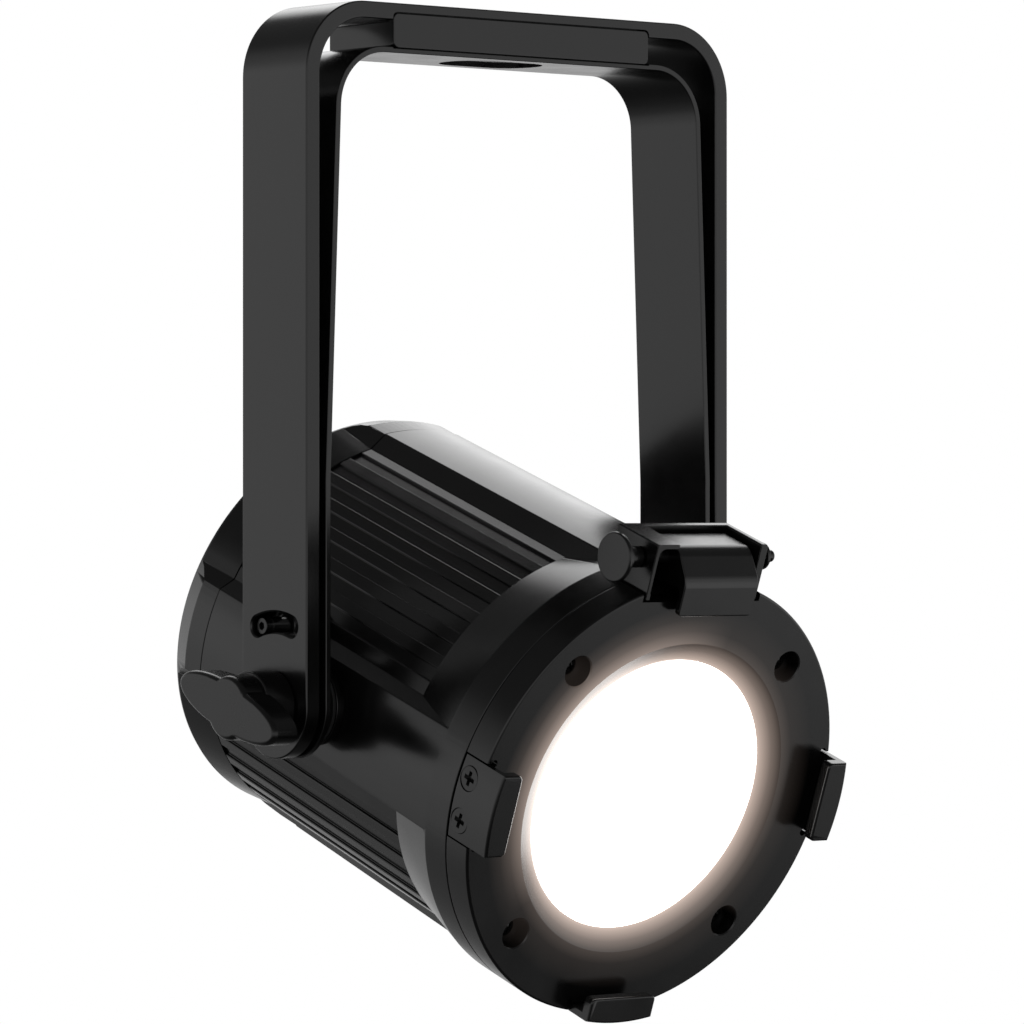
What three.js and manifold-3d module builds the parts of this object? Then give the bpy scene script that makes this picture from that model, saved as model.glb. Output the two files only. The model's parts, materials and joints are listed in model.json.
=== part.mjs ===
// Stage par can light on a double yoke. Millimetres, +Z up, lens towards -Y.
// The origin is the centre of the yoke's top face, where the hanging clamp bolts on.
import * as THREE from 'three';
import { mergeVertices } from 'three/addons/utils/BufferGeometryUtils.js';
import Module from 'manifold-3d';

const wasm = await Module();
wasm.setup();

// ---- driving dimensions ----
const GAP = 0.3;                  // clearance between pieces that touch
const PIVOT_DROP = 225.2;         // yoke top face to the tilt axis
const REST_TILT = 20;             // degrees that the beam points below level

const YOKE = { half: 90, depth: 33.4, wall: 5.5, corner: 24 };
const LINER = { low: 80.1, high: 75.8, bend: 72, wall: 2.0, drop: 14.1, corner: 18 };
const SLOT = { radius: 27, width: 6.7, half: 19, rim: 1.05 };
const BLOCK = { half: 54.4, plateTop: 2.9, plateLow: 14.8, plate: 2.4 };
const BOLT_R = 6.5;
const BUSH = { r: 9, sleeve: 6, bore: 4.4, face: 76.3 };

const KNOB = { face: 109.3, back: 99.5, turn: -1, half: 26.3, lobe: 7.8, bulge: 10.3, hub: 11.5 };
const STUD_R = 4;
const DISC_R = 12.8;              // friction discs, and the housing's pads behind them
const STOP_PIN = { face: -88.2, head: 2.75, post: 4.4, postFace: -78.2 };
const THREAD_R = 1.8;             // holes for the small screws' shanks

const RING = { r: 73.9, front: 85.4, seam: 74.5 };
const BORE_R = 63;
const SHOULDER = { r: 59, back: 22.3, front: 26 };
const FRONT_HOLE_R = 51.5;
const SCREW_BOSS_R = 4.6;
const BAND = { top: 12.4, topFoot: 17.3, side: 13.4, sideFoot: 16.5 };
const FIN = { pitch: 7.47, depth: 0.9, front: 41.5 };
const CONE = { back: 69, s: 63.5 };   // the housing grows to the ring's radius over this
const CAP = { seam: -64, chamfer: -73, rear: -82, bandR: 71.8, rimR: 68.9, bore: 59.5, wall: -77.5 };
const LENS = { r: 45.6, seat: 54, face: 82.1, mouth: 52.8 };
const SCREW_CIRCLE = 62.5;
const REAR_SCREW_CIRCLE = 63;
const CLIP = { half: 13.6, floor: 70.2, lip: 64.8, lipBack: 90.75, lipFront: 94.6, screw: 7.05 };
const CLIP_SCREW_S = 79.75;
const LATCH = { s: 77.5, w: 79.3, pinR: 2, pocket: 67, pocketHalf: 24.6, base: 69, screwS: 70.5 };
const BRACKET = { left: -23.4, right: 23.4, back: 64.9, front: 85.1, floorFront: 79, top: 86 };
const FLAP = { left: -12.5, right: 18.4, low: 63.6 };
const PIN_HEAD = { r: 7.9, face: -33.9, back: -32.3 };
const WASHER = { r: 4.4, back: 27.7, face: 28.9 };
const PANEL = { r: 58.2, face: -81.7, back: -79.8 };
const BUTTON = { r: 4, row: 19, spacing: 13, out: 1.6 };
const SOCKET = { r: 11.5, halfWide: 15.5, halfHigh: 13, spread: 17, depth: 12, mouth: 9.2 };

const X = new THREE.Vector3(1, 0, 0);
const Y = new THREE.Vector3(0, 1, 0);
const Z = new THREE.Vector3(0, 0, 1);
const BACK = Y.clone().negate();
const DOWN = Z.clone().negate();

// Where an extruded outline's first, second and depth directions point.
const EXTRUDE = {
  x: new THREE.Matrix4().makeBasis(Y, Z, X),
  beam: new THREE.Matrix4().makeBasis(X, Z, BACK),
  z: new THREE.Matrix4(),
};
// A lathe turns about its own Y, which is laid along one of these.
const TURN = {
  x: new THREE.Matrix4().makeBasis(Y, X, DOWN),
  beam: new THREE.Matrix4().makeBasis(X, BACK, DOWN),
  z: new THREE.Matrix4().makeBasis(X, Z, BACK),
};

// ---- solids ----
const rad = (degrees) => THREE.MathUtils.degToRad(degrees);
const polar = (r, degrees) => new THREE.Vector2(r * Math.cos(rad(degrees)), r * Math.sin(rad(degrees)));

function signedVolume(points, triangles) {
  const [a, b, c] = [0, 1, 2].map(() => new THREE.Vector3());
  let total = 0;
  for (let i = 0; i < triangles.length; i += 3) {
    a.fromArray(points, 3 * triangles[i]);
    b.fromArray(points, 3 * triangles[i + 1]);
    c.fromArray(points, 3 * triangles[i + 2]);
    total += a.dot(b.cross(c));
  }
  return total;
}

function solid(geometry) {
  const bare = geometry.clone();
  bare.deleteAttribute('normal');
  bare.deleteAttribute('uv');
  const merged = mergeVertices(bare, 1e-4);
  const points = Float32Array.from(merged.attributes.position.array);
  const kept = [];
  const index = merged.index.array;
  for (let i = 0; i < index.length; i += 3) {
    const [a, b, c] = index.slice(i, i + 3);
    if (a !== b && b !== c && c !== a) kept.push(a, b, c);
  }
  if (signedVolume(points, kept) < 0) kept.reverse();
  return new wasm.Manifold(new wasm.Mesh({
    numProp: 3, vertProperties: points, triVerts: Uint32Array.from(kept),
  }));
}

function geometryOf(manifold) {
  const mesh = manifold.getMesh();
  const geometry = new THREE.BufferGeometry();
  geometry.setAttribute('position', new THREE.BufferAttribute(mesh.vertProperties, 3));
  geometry.setIndex(new THREE.BufferAttribute(mesh.triVerts, 1));
  geometry.computeVertexNormals();
  return geometry;
}

const join = (first, ...others) => others.reduce((all, one) => all.add(one), first);
const cut = (first, ...others) => others.reduce((all, one) => all.subtract(one), first);

function prism(shape, axis, from, to, curveSegments = 3) {
  const options = { depth: to - from, bevelEnabled: false, curveSegments };
  const geometry = new THREE.ExtrudeGeometry(shape, options);
  geometry.translate(0, 0, from);
  return solid(geometry.applyMatrix4(EXTRUDE[axis]));
}

function turned(profile, axis, segments = 24) {
  const points = profile.map(([r, t]) => new THREE.Vector2(r, t));
  return solid(new THREE.LatheGeometry(points, segments).applyMatrix4(TURN[axis]));
}

function rod(r, axis, from, to, segments = 16) {
  return turned([[0, from], [r, from], [r, to], [0, to]], axis, segments);
}

function tube(inner, outer, axis, from, to, segments = 16) {
  return turned([[inner, from], [outer, from], [outer, to], [inner, to], [inner, from]], axis, segments);
}

function outline(points) {
  return new THREE.Shape(points.map(([a, b]) => new THREE.Vector2(a, b)));
}

function rectangle(a0, a1, b0, b1, r = 0) {
  if (r === 0) return outline([[a0, b0], [a1, b0], [a1, b1], [a0, b1]]);
  const shape = new THREE.Shape();
  shape.absarc(a1 - r, b0 + r, r, -Math.PI / 2, 0);
  shape.absarc(a1 - r, b1 - r, r, 0, Math.PI / 2);
  shape.absarc(a0 + r, b1 - r, r, Math.PI / 2, Math.PI);
  shape.absarc(a0 + r, b0 + r, r, Math.PI, 1.5 * Math.PI);
  return shape;
}

const box = (u0, u1, s0, s1, w0, w1) => prism(rectangle(u0, u1, w0, w1), 'beam', s0, s1);

// ---- materials ----
function finish(color, roughness, metalness, more = {}) {
  return new THREE.MeshStandardMaterial({ color, roughness, metalness, ...more });
}
const blackPaint = () => finish(0x1c1c1d, 0.5, 0.2);
const blackPlastic = () => finish(0x141415, 0.6, 0.0);
const blackSteel = () => finish(0x222223, 0.35, 0.8);
const steel = () => finish(0xb4b4b2, 0.35, 1.0);
const aluminium = () => finish(0xa9abad, 0.45, 1.0);
const rubber = () => finish(0x101010, 0.85, 0.0);
const boardGreen = () => finish(0x1d4a2c, 0.6, 0.1);
const lensGlass = () => finish(0xfff4ee, 0.25, 0.0, { emissive: 0xfff1ea, emissiveIntensity: 1 });
const darkGlass = () => finish(0x0b1014, 0.1, 0.0);

const light = new THREE.Group();
const head = new THREE.Group();
head.position.set(0, 0, -PIVOT_DROP);
head.rotation.x = rad(REST_TILT);
const arms = new THREE.Group();
arms.position.set(0, 0, -PIVOT_DROP);
light.add(head, arms);

function piece(parent, name, body, material) {
  const mesh = new THREE.Mesh(geometryOf(body), material);
  mesh.name = name;
  parent.add(mesh);
  return mesh;
}

// ---- yoke, drawn about the tilt axis: first X, then Z ----
function strapOutline(low, high, bend, top, corner, bottom) {
  const shape = new THREE.Shape();
  shape.moveTo(-low, bottom);
  shape.lineTo(low, bottom);
  shape.lineTo(low, bend);
  shape.lineTo(high, top - corner);
  shape.absarc(high - corner, top - corner, corner, 0, Math.PI / 2);
  shape.absarc(corner - high, top - corner, corner, Math.PI / 2, Math.PI);
  shape.lineTo(-low, bend);
  return shape;
}

function roundArmEnds() {
  const half = YOKE.depth / 2;
  const shape = new THREE.Shape();
  shape.moveTo(half, PIVOT_DROP + 1);
  shape.lineTo(-half, PIVOT_DROP + 1);
  shape.absarc(0, 0, half, Math.PI, 2 * Math.PI);
  return prism(shape, 'x', -YOKE.half - 1, YOKE.half + 1, 12);
}

function strap(outer, inner) {
  const half = YOKE.depth / 2;
  return cut(prism(outer, 'beam', -half, half, 8), prism(inner, 'beam', -half - 1, half + 1, 8))
    .intersect(roundArmEnds());
}

// A curved slot about the tilt axis, `half` its half width, between two faces on X.
function arcSlot(half, from, to) {
  const [low, high] = [90 - SLOT.half, 90 + SLOT.half].map(rad);
  const ends = [low, high].map((a) => [SLOT.radius * Math.cos(a), SLOT.radius * Math.sin(a)]);
  const shape = new THREE.Shape();
  shape.absarc(0, 0, SLOT.radius + half, low, high);
  shape.absarc(...ends[1], half, high, high + Math.PI);
  shape.absarc(0, 0, SLOT.radius - half, high, low, true);
  shape.absarc(...ends[0], half, low - Math.PI, low);
  return prism(shape, 'x', from, to, 6);
}

function makeYoke() {
  const bottom = -YOKE.depth;
  const inside = YOKE.half - YOKE.wall;
  const top = PIVOT_DROP;
  const halfDepth = YOKE.depth / 2;
  const outer = strapOutline(YOKE.half, YOKE.half, 0, top, YOKE.corner, bottom);
  const inner = strapOutline(inside, inside, 0, top - YOKE.wall, YOKE.corner - YOKE.wall, bottom - 1);
  const halfSlot = SLOT.width / 2;
  const rim = arcSlot(halfSlot + SLOT.rim, 0.1 - YOKE.half, LINER.wall + GAP - YOKE.half + YOKE.wall - 0.4);
  const rebate = prism(
    rectangle(-BLOCK.half - GAP, BLOCK.half + GAP, top - BLOCK.plateLow, top - BLOCK.plateTop, 2),
    'beam', halfDepth - BLOCK.plate - GAP, halfDepth + 1,
  );
  const body = cut(
    join(strap(outer, inner), rim),
    arcSlot(halfSlot, -YOKE.half - 1, 0),
    rebate,
    rod(BOLT_R, 'z', top - YOKE.wall - 1, top + 1),
    rod(BUSH.sleeve + GAP, 'x', -YOKE.half - 1, YOKE.half + 1),
  );
  piece(arms, 'yoke', body, blackPaint());
}

function makeYokeLiner() {
  const { low, high, bend, wall, drop, corner } = LINER;
  const bottom = -YOKE.depth;
  const top = PIVOT_DROP - drop;
  const outer = strapOutline(low + wall, high + wall, bend, top, corner + wall, bottom);
  const inner = strapOutline(low, high, bend, top - wall, corner, bottom - 1);
  const accessHole = rectangle(-18.5, 18.5, -11.3, 11.3, 11.2);
  const body = cut(
    strap(outer, inner),
    arcSlot(SLOT.width / 2, -low - wall - 1, 0),
    prism(accessHole, 'z', top - wall - 1, top + 1, 6),
    prism(rectangle(-BLOCK.half - GAP, BLOCK.half + GAP, top - 0.7, top + 1), 'beam', 14, 18),
    rod(BUSH.sleeve + GAP, 'x', -YOKE.half, YOKE.half),
  );
  piece(arms, 'yoke_liner', body, blackPaint());
}

// The filler between the two straps, which takes the squeeze of the clamp bolt.
function makeClampBlock() {
  const halfDepth = YOKE.depth / 2;
  const top = PIVOT_DROP - YOKE.wall - GAP;
  const low = PIVOT_DROP - LINER.drop + GAP;
  const half = BLOCK.half;
  const filler = prism(rectangle(-half, half, low, top), 'beam', -halfDepth, halfDepth - BLOCK.plate / 2);
  const plate = prism(
    rectangle(-half, half, PIVOT_DROP - BLOCK.plateLow + GAP, PIVOT_DROP - BLOCK.plateTop - GAP, 1.8),
    'beam', halfDepth - BLOCK.plate, halfDepth,
  );
  const body = cut(join(filler, plate), rod(BOLT_R + 1.5 + GAP, 'z', low - 2, top + 2));
  piece(arms, 'clamp_block', body, blackPlastic());
  const bush = tube(BOLT_R, BOLT_R + 1.5, 'z', low, top);
  piece(arms, 'clamp_bolt_bush', bush, steel());
}

// ---- tilt pivots: side is -1 on the left and +1 on the right ----
const SIDES = [['left', -1], ['right', 1]];

function along(side, a, b) {
  return side > 0 ? [a, b] : [-b, -a];
}

function sidePrism(shape, side, a, b, segments) {
  return prism(shape, 'x', ...along(side, a, b), segments);
}

function makePivotBush(name, side) {
  const armFace = LINER.low - GAP;
  const body = join(
    rod(BUSH.r, 'x', ...along(side, BUSH.face, armFace)),
    rod(BUSH.sleeve, 'x', ...along(side, BUSH.face, YOKE.half - 0.2)),
  );
  const bored = cut(body, rod(BUSH.bore, 'x', ...along(side, BUSH.face - 1, YOKE.half + 1)));
  piece(arms, `pivot_bush_${name}`, bored, blackPlastic());
}

function makeFrictionDisc(name, side) {
  const disc = cut(
    rod(DISC_R, 'x', ...along(side, 74.8, BUSH.face - GAP), 24),
    rod(BUSH.bore, 'x', ...along(side, 70, 80)),
  );
  piece(head, `friction_disc_${name}`, disc, rubber());
}

// Half width of the knob at a distance along it: two long lobes, and a round middle standing out.
function knobHalfWidth(reach) {
  const lobe = KNOB.lobe * Math.sqrt(1 - (reach / KNOB.half) ** 2.32);
  return reach < KNOB.bulge ? Math.max(lobe, Math.sqrt(KNOB.bulge ** 2 - reach ** 2)) : lobe;
}

function knobOutline(inset) {
  const reaches = [26.2, 25.4, 24, 21.5, 18, 14, 10.5, 6.9, 5, 2.5];
  const quarter = reaches.map((reach) => [reach, knobHalfWidth(reach)]);
  const upper = [...quarter, [0, KNOB.bulge], ...quarter.map(([a, b]) => [-a, b]).reverse()];
  const points = [...upper, ...upper.map(([a, b]) => [-a, -b])];
  const shrink = 1 - inset / KNOB.half;
  const drop = (b) => inset * Math.sign(b) * Math.min(1, Math.abs(b) / 4);
  return outline(points.map(([a, b]) => [a * shrink, b - drop(b)]));
}

function makeKnob(name, side) {
  const grip = join(
    sidePrism(knobOutline(0), side, KNOB.back, KNOB.face - 1.6),
    sidePrism(knobOutline(1), side, KNOB.face - 2, KNOB.face),
    rod(KNOB.hub, 'x', ...along(side, YOKE.half + GAP, KNOB.back + 1), 20),
  );
  const body = cut(grip, rod(STUD_R + GAP, 'x', ...along(side, YOKE.half - 1, 105.3)));
  const knob = piece(head, `knob_${name}`, body, blackPlastic());
  knob.rotation.x = rad(KNOB.turn);
  const stud = rod(STUD_R, 'x', ...along(side, 61, 105));
  piece(head, `knob_stud_${name}`, stud, steel());
}

const STOP = polar(SLOT.radius, 90 - SLOT.half - REST_TILT);

function onStop(body) {
  return body.translate([0, STOP.x, STOP.y]);
}

function makeStopPin() {
  const { face, head: headR } = STOP_PIN;
  const neck = face + 2.8;
  const shoulder = STOP_PIN.postFace - 0.2;
  const shape = join(
    rod(headR, 'x', face, neck),
    rod(headR + 0.15, 'x', neck - 0.1, shoulder),
    rod(THREAD_R - GAP, 'x', shoulder - 0.1, -70, 10),
  );
  const hexKey = new THREE.Shape([0, 60, 120, 180, 240, 300].map((a) => polar(1.45, a)));
  const body = cut(shape, prism(hexKey, 'x', face - 1, face + 1.6));
  piece(head, 'stop_pin', onStop(body), blackSteel());
}

// ---- head sections ----
// One cross-section through the four bands and, where finned, the fins between them.
function section(ridgeR, bandR, finned) {
  const points = [];
  for (let quarter = 0; quarter < 4; quarter += 1) {
    const middle = 90 * quarter;
    const onSide = quarter % 2 === 0;
    const half = onSide ? BAND.side : BAND.top;
    const foot = onSide ? BAND.sideFoot : BAND.topFoot;
    points.push(polar(ridgeR, middle - foot));
    for (let i = -2; i <= 2; i += 1) points.push(polar(bandR, middle + (half * i) / 2));
    points.push(polar(ridgeR, middle + foot));
    const diagonal = middle + 45;
    const edge = FIN.pitch / 4;
    for (let groove = -3; groove <= 3; groove += 1) {
      const centre = diagonal + groove * FIN.pitch;
      if (finned) {
        points.push(polar(ridgeR, centre - edge), polar(ridgeR - FIN.depth, centre - edge));
        points.push(polar(ridgeR - FIN.depth, centre + edge), polar(ridgeR, centre + edge));
      }
    }
  }
  return points;
}

// A closed solid through two sections with the same number of points.
function loft(rear, s0, front, s1) {
  const count = rear.length;
  const positions = [];
  rear.forEach((p) => positions.push(p.x, p.y, s0));
  front.forEach((p) => positions.push(p.x, p.y, s1));
  const index = [];
  for (let i = 0; i < count; i += 1) {
    const next = (i + 1) % count;
    index.push(i, next, count + next, i, count + next, count + i);
  }
  THREE.ShapeUtils.triangulateShape(rear, []).forEach(([a, b, c]) => index.push(c, b, a));
  THREE.ShapeUtils.triangulateShape(front, []).forEach(([a, b, c]) => {
    index.push(count + a, count + b, count + c);
  });
  const geometry = new THREE.BufferGeometry();
  geometry.setAttribute('position', new THREE.Float32BufferAttribute(positions, 3));
  geometry.setIndex(index);
  return solid(geometry.applyMatrix4(EXTRUDE.beam));
}

const ridgeRadius = (s) => 68.0 + (0.9 * (s + 63)) / 104.5;
const bandRadius = (s) => 71.95 + (1.95 * (s + 70)) / 133.5;

// The four diagonal places where ring and rear screws sit.
const DIAGONALS = [45, 135, 225, 315];

function diagonalRods(circle, r, from, to, segments = 8) {
  return DIAGONALS.map((a) => {
    const p = polar(circle, a);
    return rod(r, 'beam', from, to, segments).translate([p.x, 0, p.y]);
  });
}

const LATCH_SCREWS = [-16.5, 16.5];

function latchScrewHoles() {
  return LATCH_SCREWS.map((u) => rod(THREAD_R, 'z', 60, 80).translate([u, -LATCH.screwS, 0]));
}

function makeHousing() {
  const rear = CAP.seam + GAP / 2;
  const front = RING.seam - GAP / 2;
  const finned = loft(
    section(ridgeRadius(rear), bandRadius(rear), true), rear,
    section(ridgeRadius(CONE.s), bandRadius(CONE.s), true), CONE.s,
  );
  const flange = turned(
    [[0, FIN.front], [CONE.back, FIN.front], [RING.r, CONE.s], [RING.r, front], [0, front]], 'beam', 48,
  );
  const hollow = turned(
    [[0, rear - 1], [BORE_R, rear - 1], [BORE_R, SHOULDER.back], [SHOULDER.r, SHOULDER.back],
      [SHOULDER.r, SHOULDER.front], [BORE_R, SHOULDER.front], [BORE_R, FIN.front], [55, CONE.s],
      [FRONT_HOLE_R, CONE.s], [FRONT_HOLE_R, front + 1], [0, front + 1]], 'beam', 32,
  );
  const pads = SIDES.map(([, side]) => rod(DISC_R, 'x', ...along(side, 66, 74.5), 24));
  const studBosses = SIDES.map(([, side]) => rod(DISC_R - 2, 'x', ...along(side, 58, 67), 20));
  const post = onStop(rod(STOP_PIN.post, 'x', STOP_PIN.postFace, -64));
  const half = LATCH.pocketHalf;
  const shell = cut(
    join(finned, flange, ...pads, post), hollow,
    box(-half, half, BRACKET.back - 0.4, front + 1, LATCH.pocket, 80),
  );
  const body = cut(
    join(shell, ...studBosses, ...diagonalRods(REAR_SCREW_CIRCLE, SCREW_BOSS_R, rear, -44, 12)),
    ...diagonalRods(SCREW_CIRCLE, THREAD_R, 62, front + 1),
    ...diagonalRods(REAR_SCREW_CIRCLE, THREAD_R, rear - 1, -50),
    ...SIDES.map(([, side]) => rod(BUSH.bore, 'x', ...along(side, 50, 76))),
    onStop(rod(THREAD_R, 'x', STOP_PIN.postFace - 1, -69)),
    ...latchScrewHoles(),
  );
  piece(head, 'main_housing', body, blackPaint());
}

function makeRearCap() {
  const front = CAP.seam - GAP / 2;
  const bands = loft(
    section(66, CAP.bandR, false), CAP.rear, section(66, CAP.bandR, false), front,
  );
  const barrel = turned([[0, CAP.rear], [69.9, CAP.rear], [68.0, front], [0, front]], 'beam', 48);
  const envelope = turned(
    [[0, CAP.rear], [CAP.rimR, CAP.rear], [CAP.bandR, CAP.chamfer], [CAP.bandR, front], [0, front]],
    'beam', 48,
  );
  const hollow = turned(
    [[0, front + 1], [BORE_R, front + 1], [BORE_R, CAP.chamfer], [CAP.bore, CAP.wall], [55, CAP.wall],
      [55, PANEL.back + GAP], [PANEL.r + GAP, PANEL.back + GAP], [PANEL.r + GAP, CAP.rear - 1],
      [0, CAP.rear - 1]],
    'beam', 32,
  );
  const shell = cut(join(bands, barrel).intersect(envelope), hollow);
  const body = cut(
    join(shell, ...diagonalRods(REAR_SCREW_CIRCLE, SCREW_BOSS_R, CAP.wall - 1, front, 12)),
    ...diagonalRods(REAR_SCREW_CIRCLE, THREAD_R, CAP.rear - 1, front + 1),
    ...diagonalRods(REAR_SCREW_CIRCLE, 3.3, CAP.rear - 1, -79, 12),
  );
  piece(head, 'rear_cap', body, blackPaint());
}

// ---- front ring with the lens behind it ----
// A piece drawn at the bottom of the ring, turned round the beam to its own side.
function aroundBeam(body, degrees) {
  return body.rotate([0, degrees, 0]);
}
const CLIP_PLACES = [['bottom', 0], ['left', 90], ['right', -90]];

function makeFrontRing() {
  const rear = RING.seam + GAP / 2;
  const profile = [
    [LENS.r + GAP, LENS.face - 0.4], [LENS.mouth, RING.front], [RING.r - 0.6, RING.front],
    [RING.r, RING.front - 0.6], [RING.r, rear], [LENS.seat + GAP, rear],
    [LENS.seat + GAP, LENS.face - 0.5], [LENS.r + GAP, LENS.face - 0.5], [LENS.r + GAP, LENS.face - 0.4],
  ];
  const half = CLIP.half + 0.6;
  const pocket = box(-half, half, RING.seam, RING.front + 1, -80, -CLIP.floor + GAP);
  const places = CLIP_PLACES.map(([, turn]) => turn);
  const threads = places.flatMap((turn) => [-1, 1].map((way) => aroundBeam(
    rod(THREAD_R, 'z', -75, -64, 8).translate([way * CLIP.screw, -CLIP_SCREW_S, 0]), turn,
  )));
  const body = cut(
    turned(profile, 'beam', 48),
    ...places.map((turn) => aroundBeam(pocket, turn)),
    ...threads,
    ...diagonalRods(SCREW_CIRCLE, 5.05, 79, RING.front + 1, 14),
    ...diagonalRods(SCREW_CIRCLE, THREAD_R, RING.seam, 80),
    box(-LATCH.pocketHalf, LATCH.pocketHalf, RING.seam, RING.front + 1, LATCH.pocket, 80),
  );
  piece(head, 'front_ring', body, blackPaint());
}

function panHead(r, thickness, shankR, length, axis) {
  return join(
    turned([[0, 0], [r, 0], [r, thickness * 0.55], [r * 0.6, thickness], [0, thickness]], axis, 14),
    rod(shankR, axis, -length, 0.1, 8),
  );
}

function makeRingScrews() {
  DIAGONALS.forEach((a, i) => {
    const p = polar(SCREW_CIRCLE, a);
    const screw = panHead(3, 2.1, 1.5, 13, 'beam').translate([p.x, -79.3, p.y]);
    piece(head, `ring_screw_${i + 1}`, screw, blackSteel());
  });
}

function makeRearScrews() {
  DIAGONALS.forEach((a, i) => {
    const p = polar(REAR_SCREW_CIRCLE, a);
    const screw = panHead(2.8, 2, 1.5, 22, 'beam').rotate([0, 0, 180]).translate([p.x, 79.3, p.y]);
    piece(head, `rear_screw_${i + 1}`, screw, blackSteel());
  });
}

// Accessory clip: a plate let into the ring's side, with a lip in front of the ring.
function clipBody() {
  const rear = RING.seam + 0.6;
  const profile = outline([
    [-rear, -RING.r], [-rear, -CLIP.floor], [-CLIP.lipBack, -CLIP.floor], [-CLIP.lipBack, -CLIP.lip],
    [-CLIP.lipFront, -CLIP.lip], [-CLIP.lipFront, -RING.r],
  ]);
  const angle = prism(profile, 'x', -CLIP.half, CLIP.half);
  const round = rod(RING.r, 'beam', 70, 100, 64);
  const corners = prism(rectangle(-CLIP.half, CLIP.half, -80, -CLIP.lip, 1.6), 'beam', 70, 100);
  return angle.intersect(round).intersect(corners);
}

function clipScrew() {
  const top = -RING.r + 1.1;
  return turned(
    [[0, top], [3.9, top], [3.9, top + 0.3], [1.6, top + 2.3], [1.6, -65], [0, -65]], 'z', 12,
  );
}

function makeClips() {
  const ways = [-1, 1];
  const seats = ways.map((way) => turned(
    [[0, -80], [4.2, -80], [4.2, -RING.r + 1.5], [1.9, -RING.r + 3.9], [1.9, -60], [0, -60]], 'z', 12,
  ).translate([way * CLIP.screw, -CLIP_SCREW_S, 0]));
  const body = cut(clipBody(), ...seats);
  CLIP_PLACES.forEach(([name, turn]) => {
    piece(head, `clip_${name}`, aroundBeam(body, turn), blackPaint());
    ways.forEach((way, i) => {
      const screw = clipScrew().translate([way * CLIP.screw, -CLIP_SCREW_S, 0]);
      piece(head, `clip_screw_${name}_${i + 1}`, aroundBeam(screw, turn), blackSteel());
    });
  });
}

function makeLens() {
  const seat = LENS.face - 0.8;
  const body = turned(
    [[0, 77], [LENS.seat, 77], [LENS.seat, seat], [LENS.r, seat], [LENS.r, LENS.face], [0, LENS.face]],
    'beam', 48,
  );
  piece(head, 'lens', body, lensGlass());
  piece(head, 'lens_gasket', tube(50, LENS.seat, 'beam', 74.8, 76.7, 32), rubber());
}

// ---- accessory latch at the top of the ring ----
function makeLatchBracket() {
  const { left, right, back, front, floorFront, top } = BRACKET;
  const low = LATCH.pocket + GAP;
  const flangeEdge = left + 9.3;
  const body = join(
    box(left, right, back, floorFront, low, LATCH.base),
    box(left, right, back, back + 2.4, low, top),
    box(left, left + 1.7, back, front, low, top),
    box(right - 3.1, right, back, front, low, top),
    box(left, flangeEdge, back, front, top - 1.7, top),
  );
  const pinHole = rod(LATCH.pinR + GAP, 'x', left - 2, right + 2).translate([0, -LATCH.s, LATCH.w]);
  const envelope = prism(rectangle(left, right, low, top, 0.5), 'beam', back - 1, front + 1);
  piece(head, 'latch_bracket', cut(body, pinHole, ...latchScrewHoles()).intersect(envelope), blackPaint());
  LATCH_SCREWS.forEach((u, i) => {
    const screw = panHead(2.6, 1.2, 1.5, 5.5, 'z').translate([u, -LATCH.screwS, LATCH.base + GAP]);
    piece(head, `latch_screw_${i + 1}`, screw, blackSteel());
  });
}

// The flap's outline in beam distance and height, seen from its left.
function makeLatchFlap() {
  const shape = new THREE.Shape();
  shape.moveTo(-69.3, 84.1);
  shape.absarc(-LATCH.s, LATCH.w, 8.2, 0, -0.55 * Math.PI, true);
  shape.lineTo(-86.6, 72.2);
  shape.lineTo(-87.7, 70.4);
  shape.lineTo(-87.7, FLAP.low);
  shape.lineTo(-89.9, FLAP.low);
  shape.lineTo(-89.9, 73.9);
  shape.quadraticCurveTo(-89.9, 75.2, -89.1, 76.2);
  shape.lineTo(-83.8, 82.6);
  shape.quadraticCurveTo(-82.6, 84.1, -80.7, 84.1);
  const plate = prism(shape, 'x', FLAP.left, FLAP.right, 5);
  const corners = prism(rectangle(FLAP.left, FLAP.right, FLAP.low, 90, 2), 'beam', 60, 95);
  const bore = rod(LATCH.pinR + 0.06, 'x', -40, 40).translate([0, -LATCH.s, LATCH.w]);
  piece(head, 'latch_flap', cut(plate.intersect(corners), bore), blackPaint());
}

function onLatchPin(body) {
  return body.translate([0, -LATCH.s, LATCH.w]);
}

function makeLatchPin() {
  const { pinR } = LATCH;
  const { r, face, back } = PIN_HEAD;
  const body = turned(
    [[0, face], [r - 0.5, face], [r, face + 0.5], [r, back - 0.3], [r - 0.3, back], [5.2, back],
      [5.2, -29.4], [3.4, -29.4], [3.4, -23.8], [pinR, -23.8], [pinR, 32.2], [1.4, 33.2], [0, 33.2]],
    'x', 20,
  );
  piece(head, 'latch_pin', onLatchPin(body), blackSteel());
  const sleeve = tube(pinR + GAP, 3.2, 'x', BRACKET.right + GAP, WASHER.back - GAP);
  piece(head, 'latch_sleeve', onLatchPin(sleeve), blackSteel());
  const washer = tube(pinR + GAP, WASHER.r, 'x', WASHER.back, WASHER.face, 20);
  piece(head, 'latch_washer', onLatchPin(washer), blackSteel());
}

// ---- light engine ----
const SINK = { r: BORE_R - GAP, coreR: 54, back: -28, plate: 14, front: 22, pitch: 10, fin: 1.4 };
const LED_BOARD = { r: 24, back: SINK.front + GAP, front: SINK.front + 1.9, chipRing: 11, chip: 2.4 };

function makeHeatSink() {
  const { r, coreR, back, plate, front, pitch, fin } = SINK;
  const core = rod(coreR, 'beam', back, plate + 1, 24);
  const fins = [-4, -3, -2, -1, 0, 1, 2, 3, 4].map((n) => (
    box(pitch * n - fin, pitch * n + fin, back, plate + 1, -coreR, coreR).intersect(core)
  ));
  piece(head, 'heat_sink', join(rod(r, 'beam', plate, front, 32), ...fins), aluminium());
}

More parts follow.
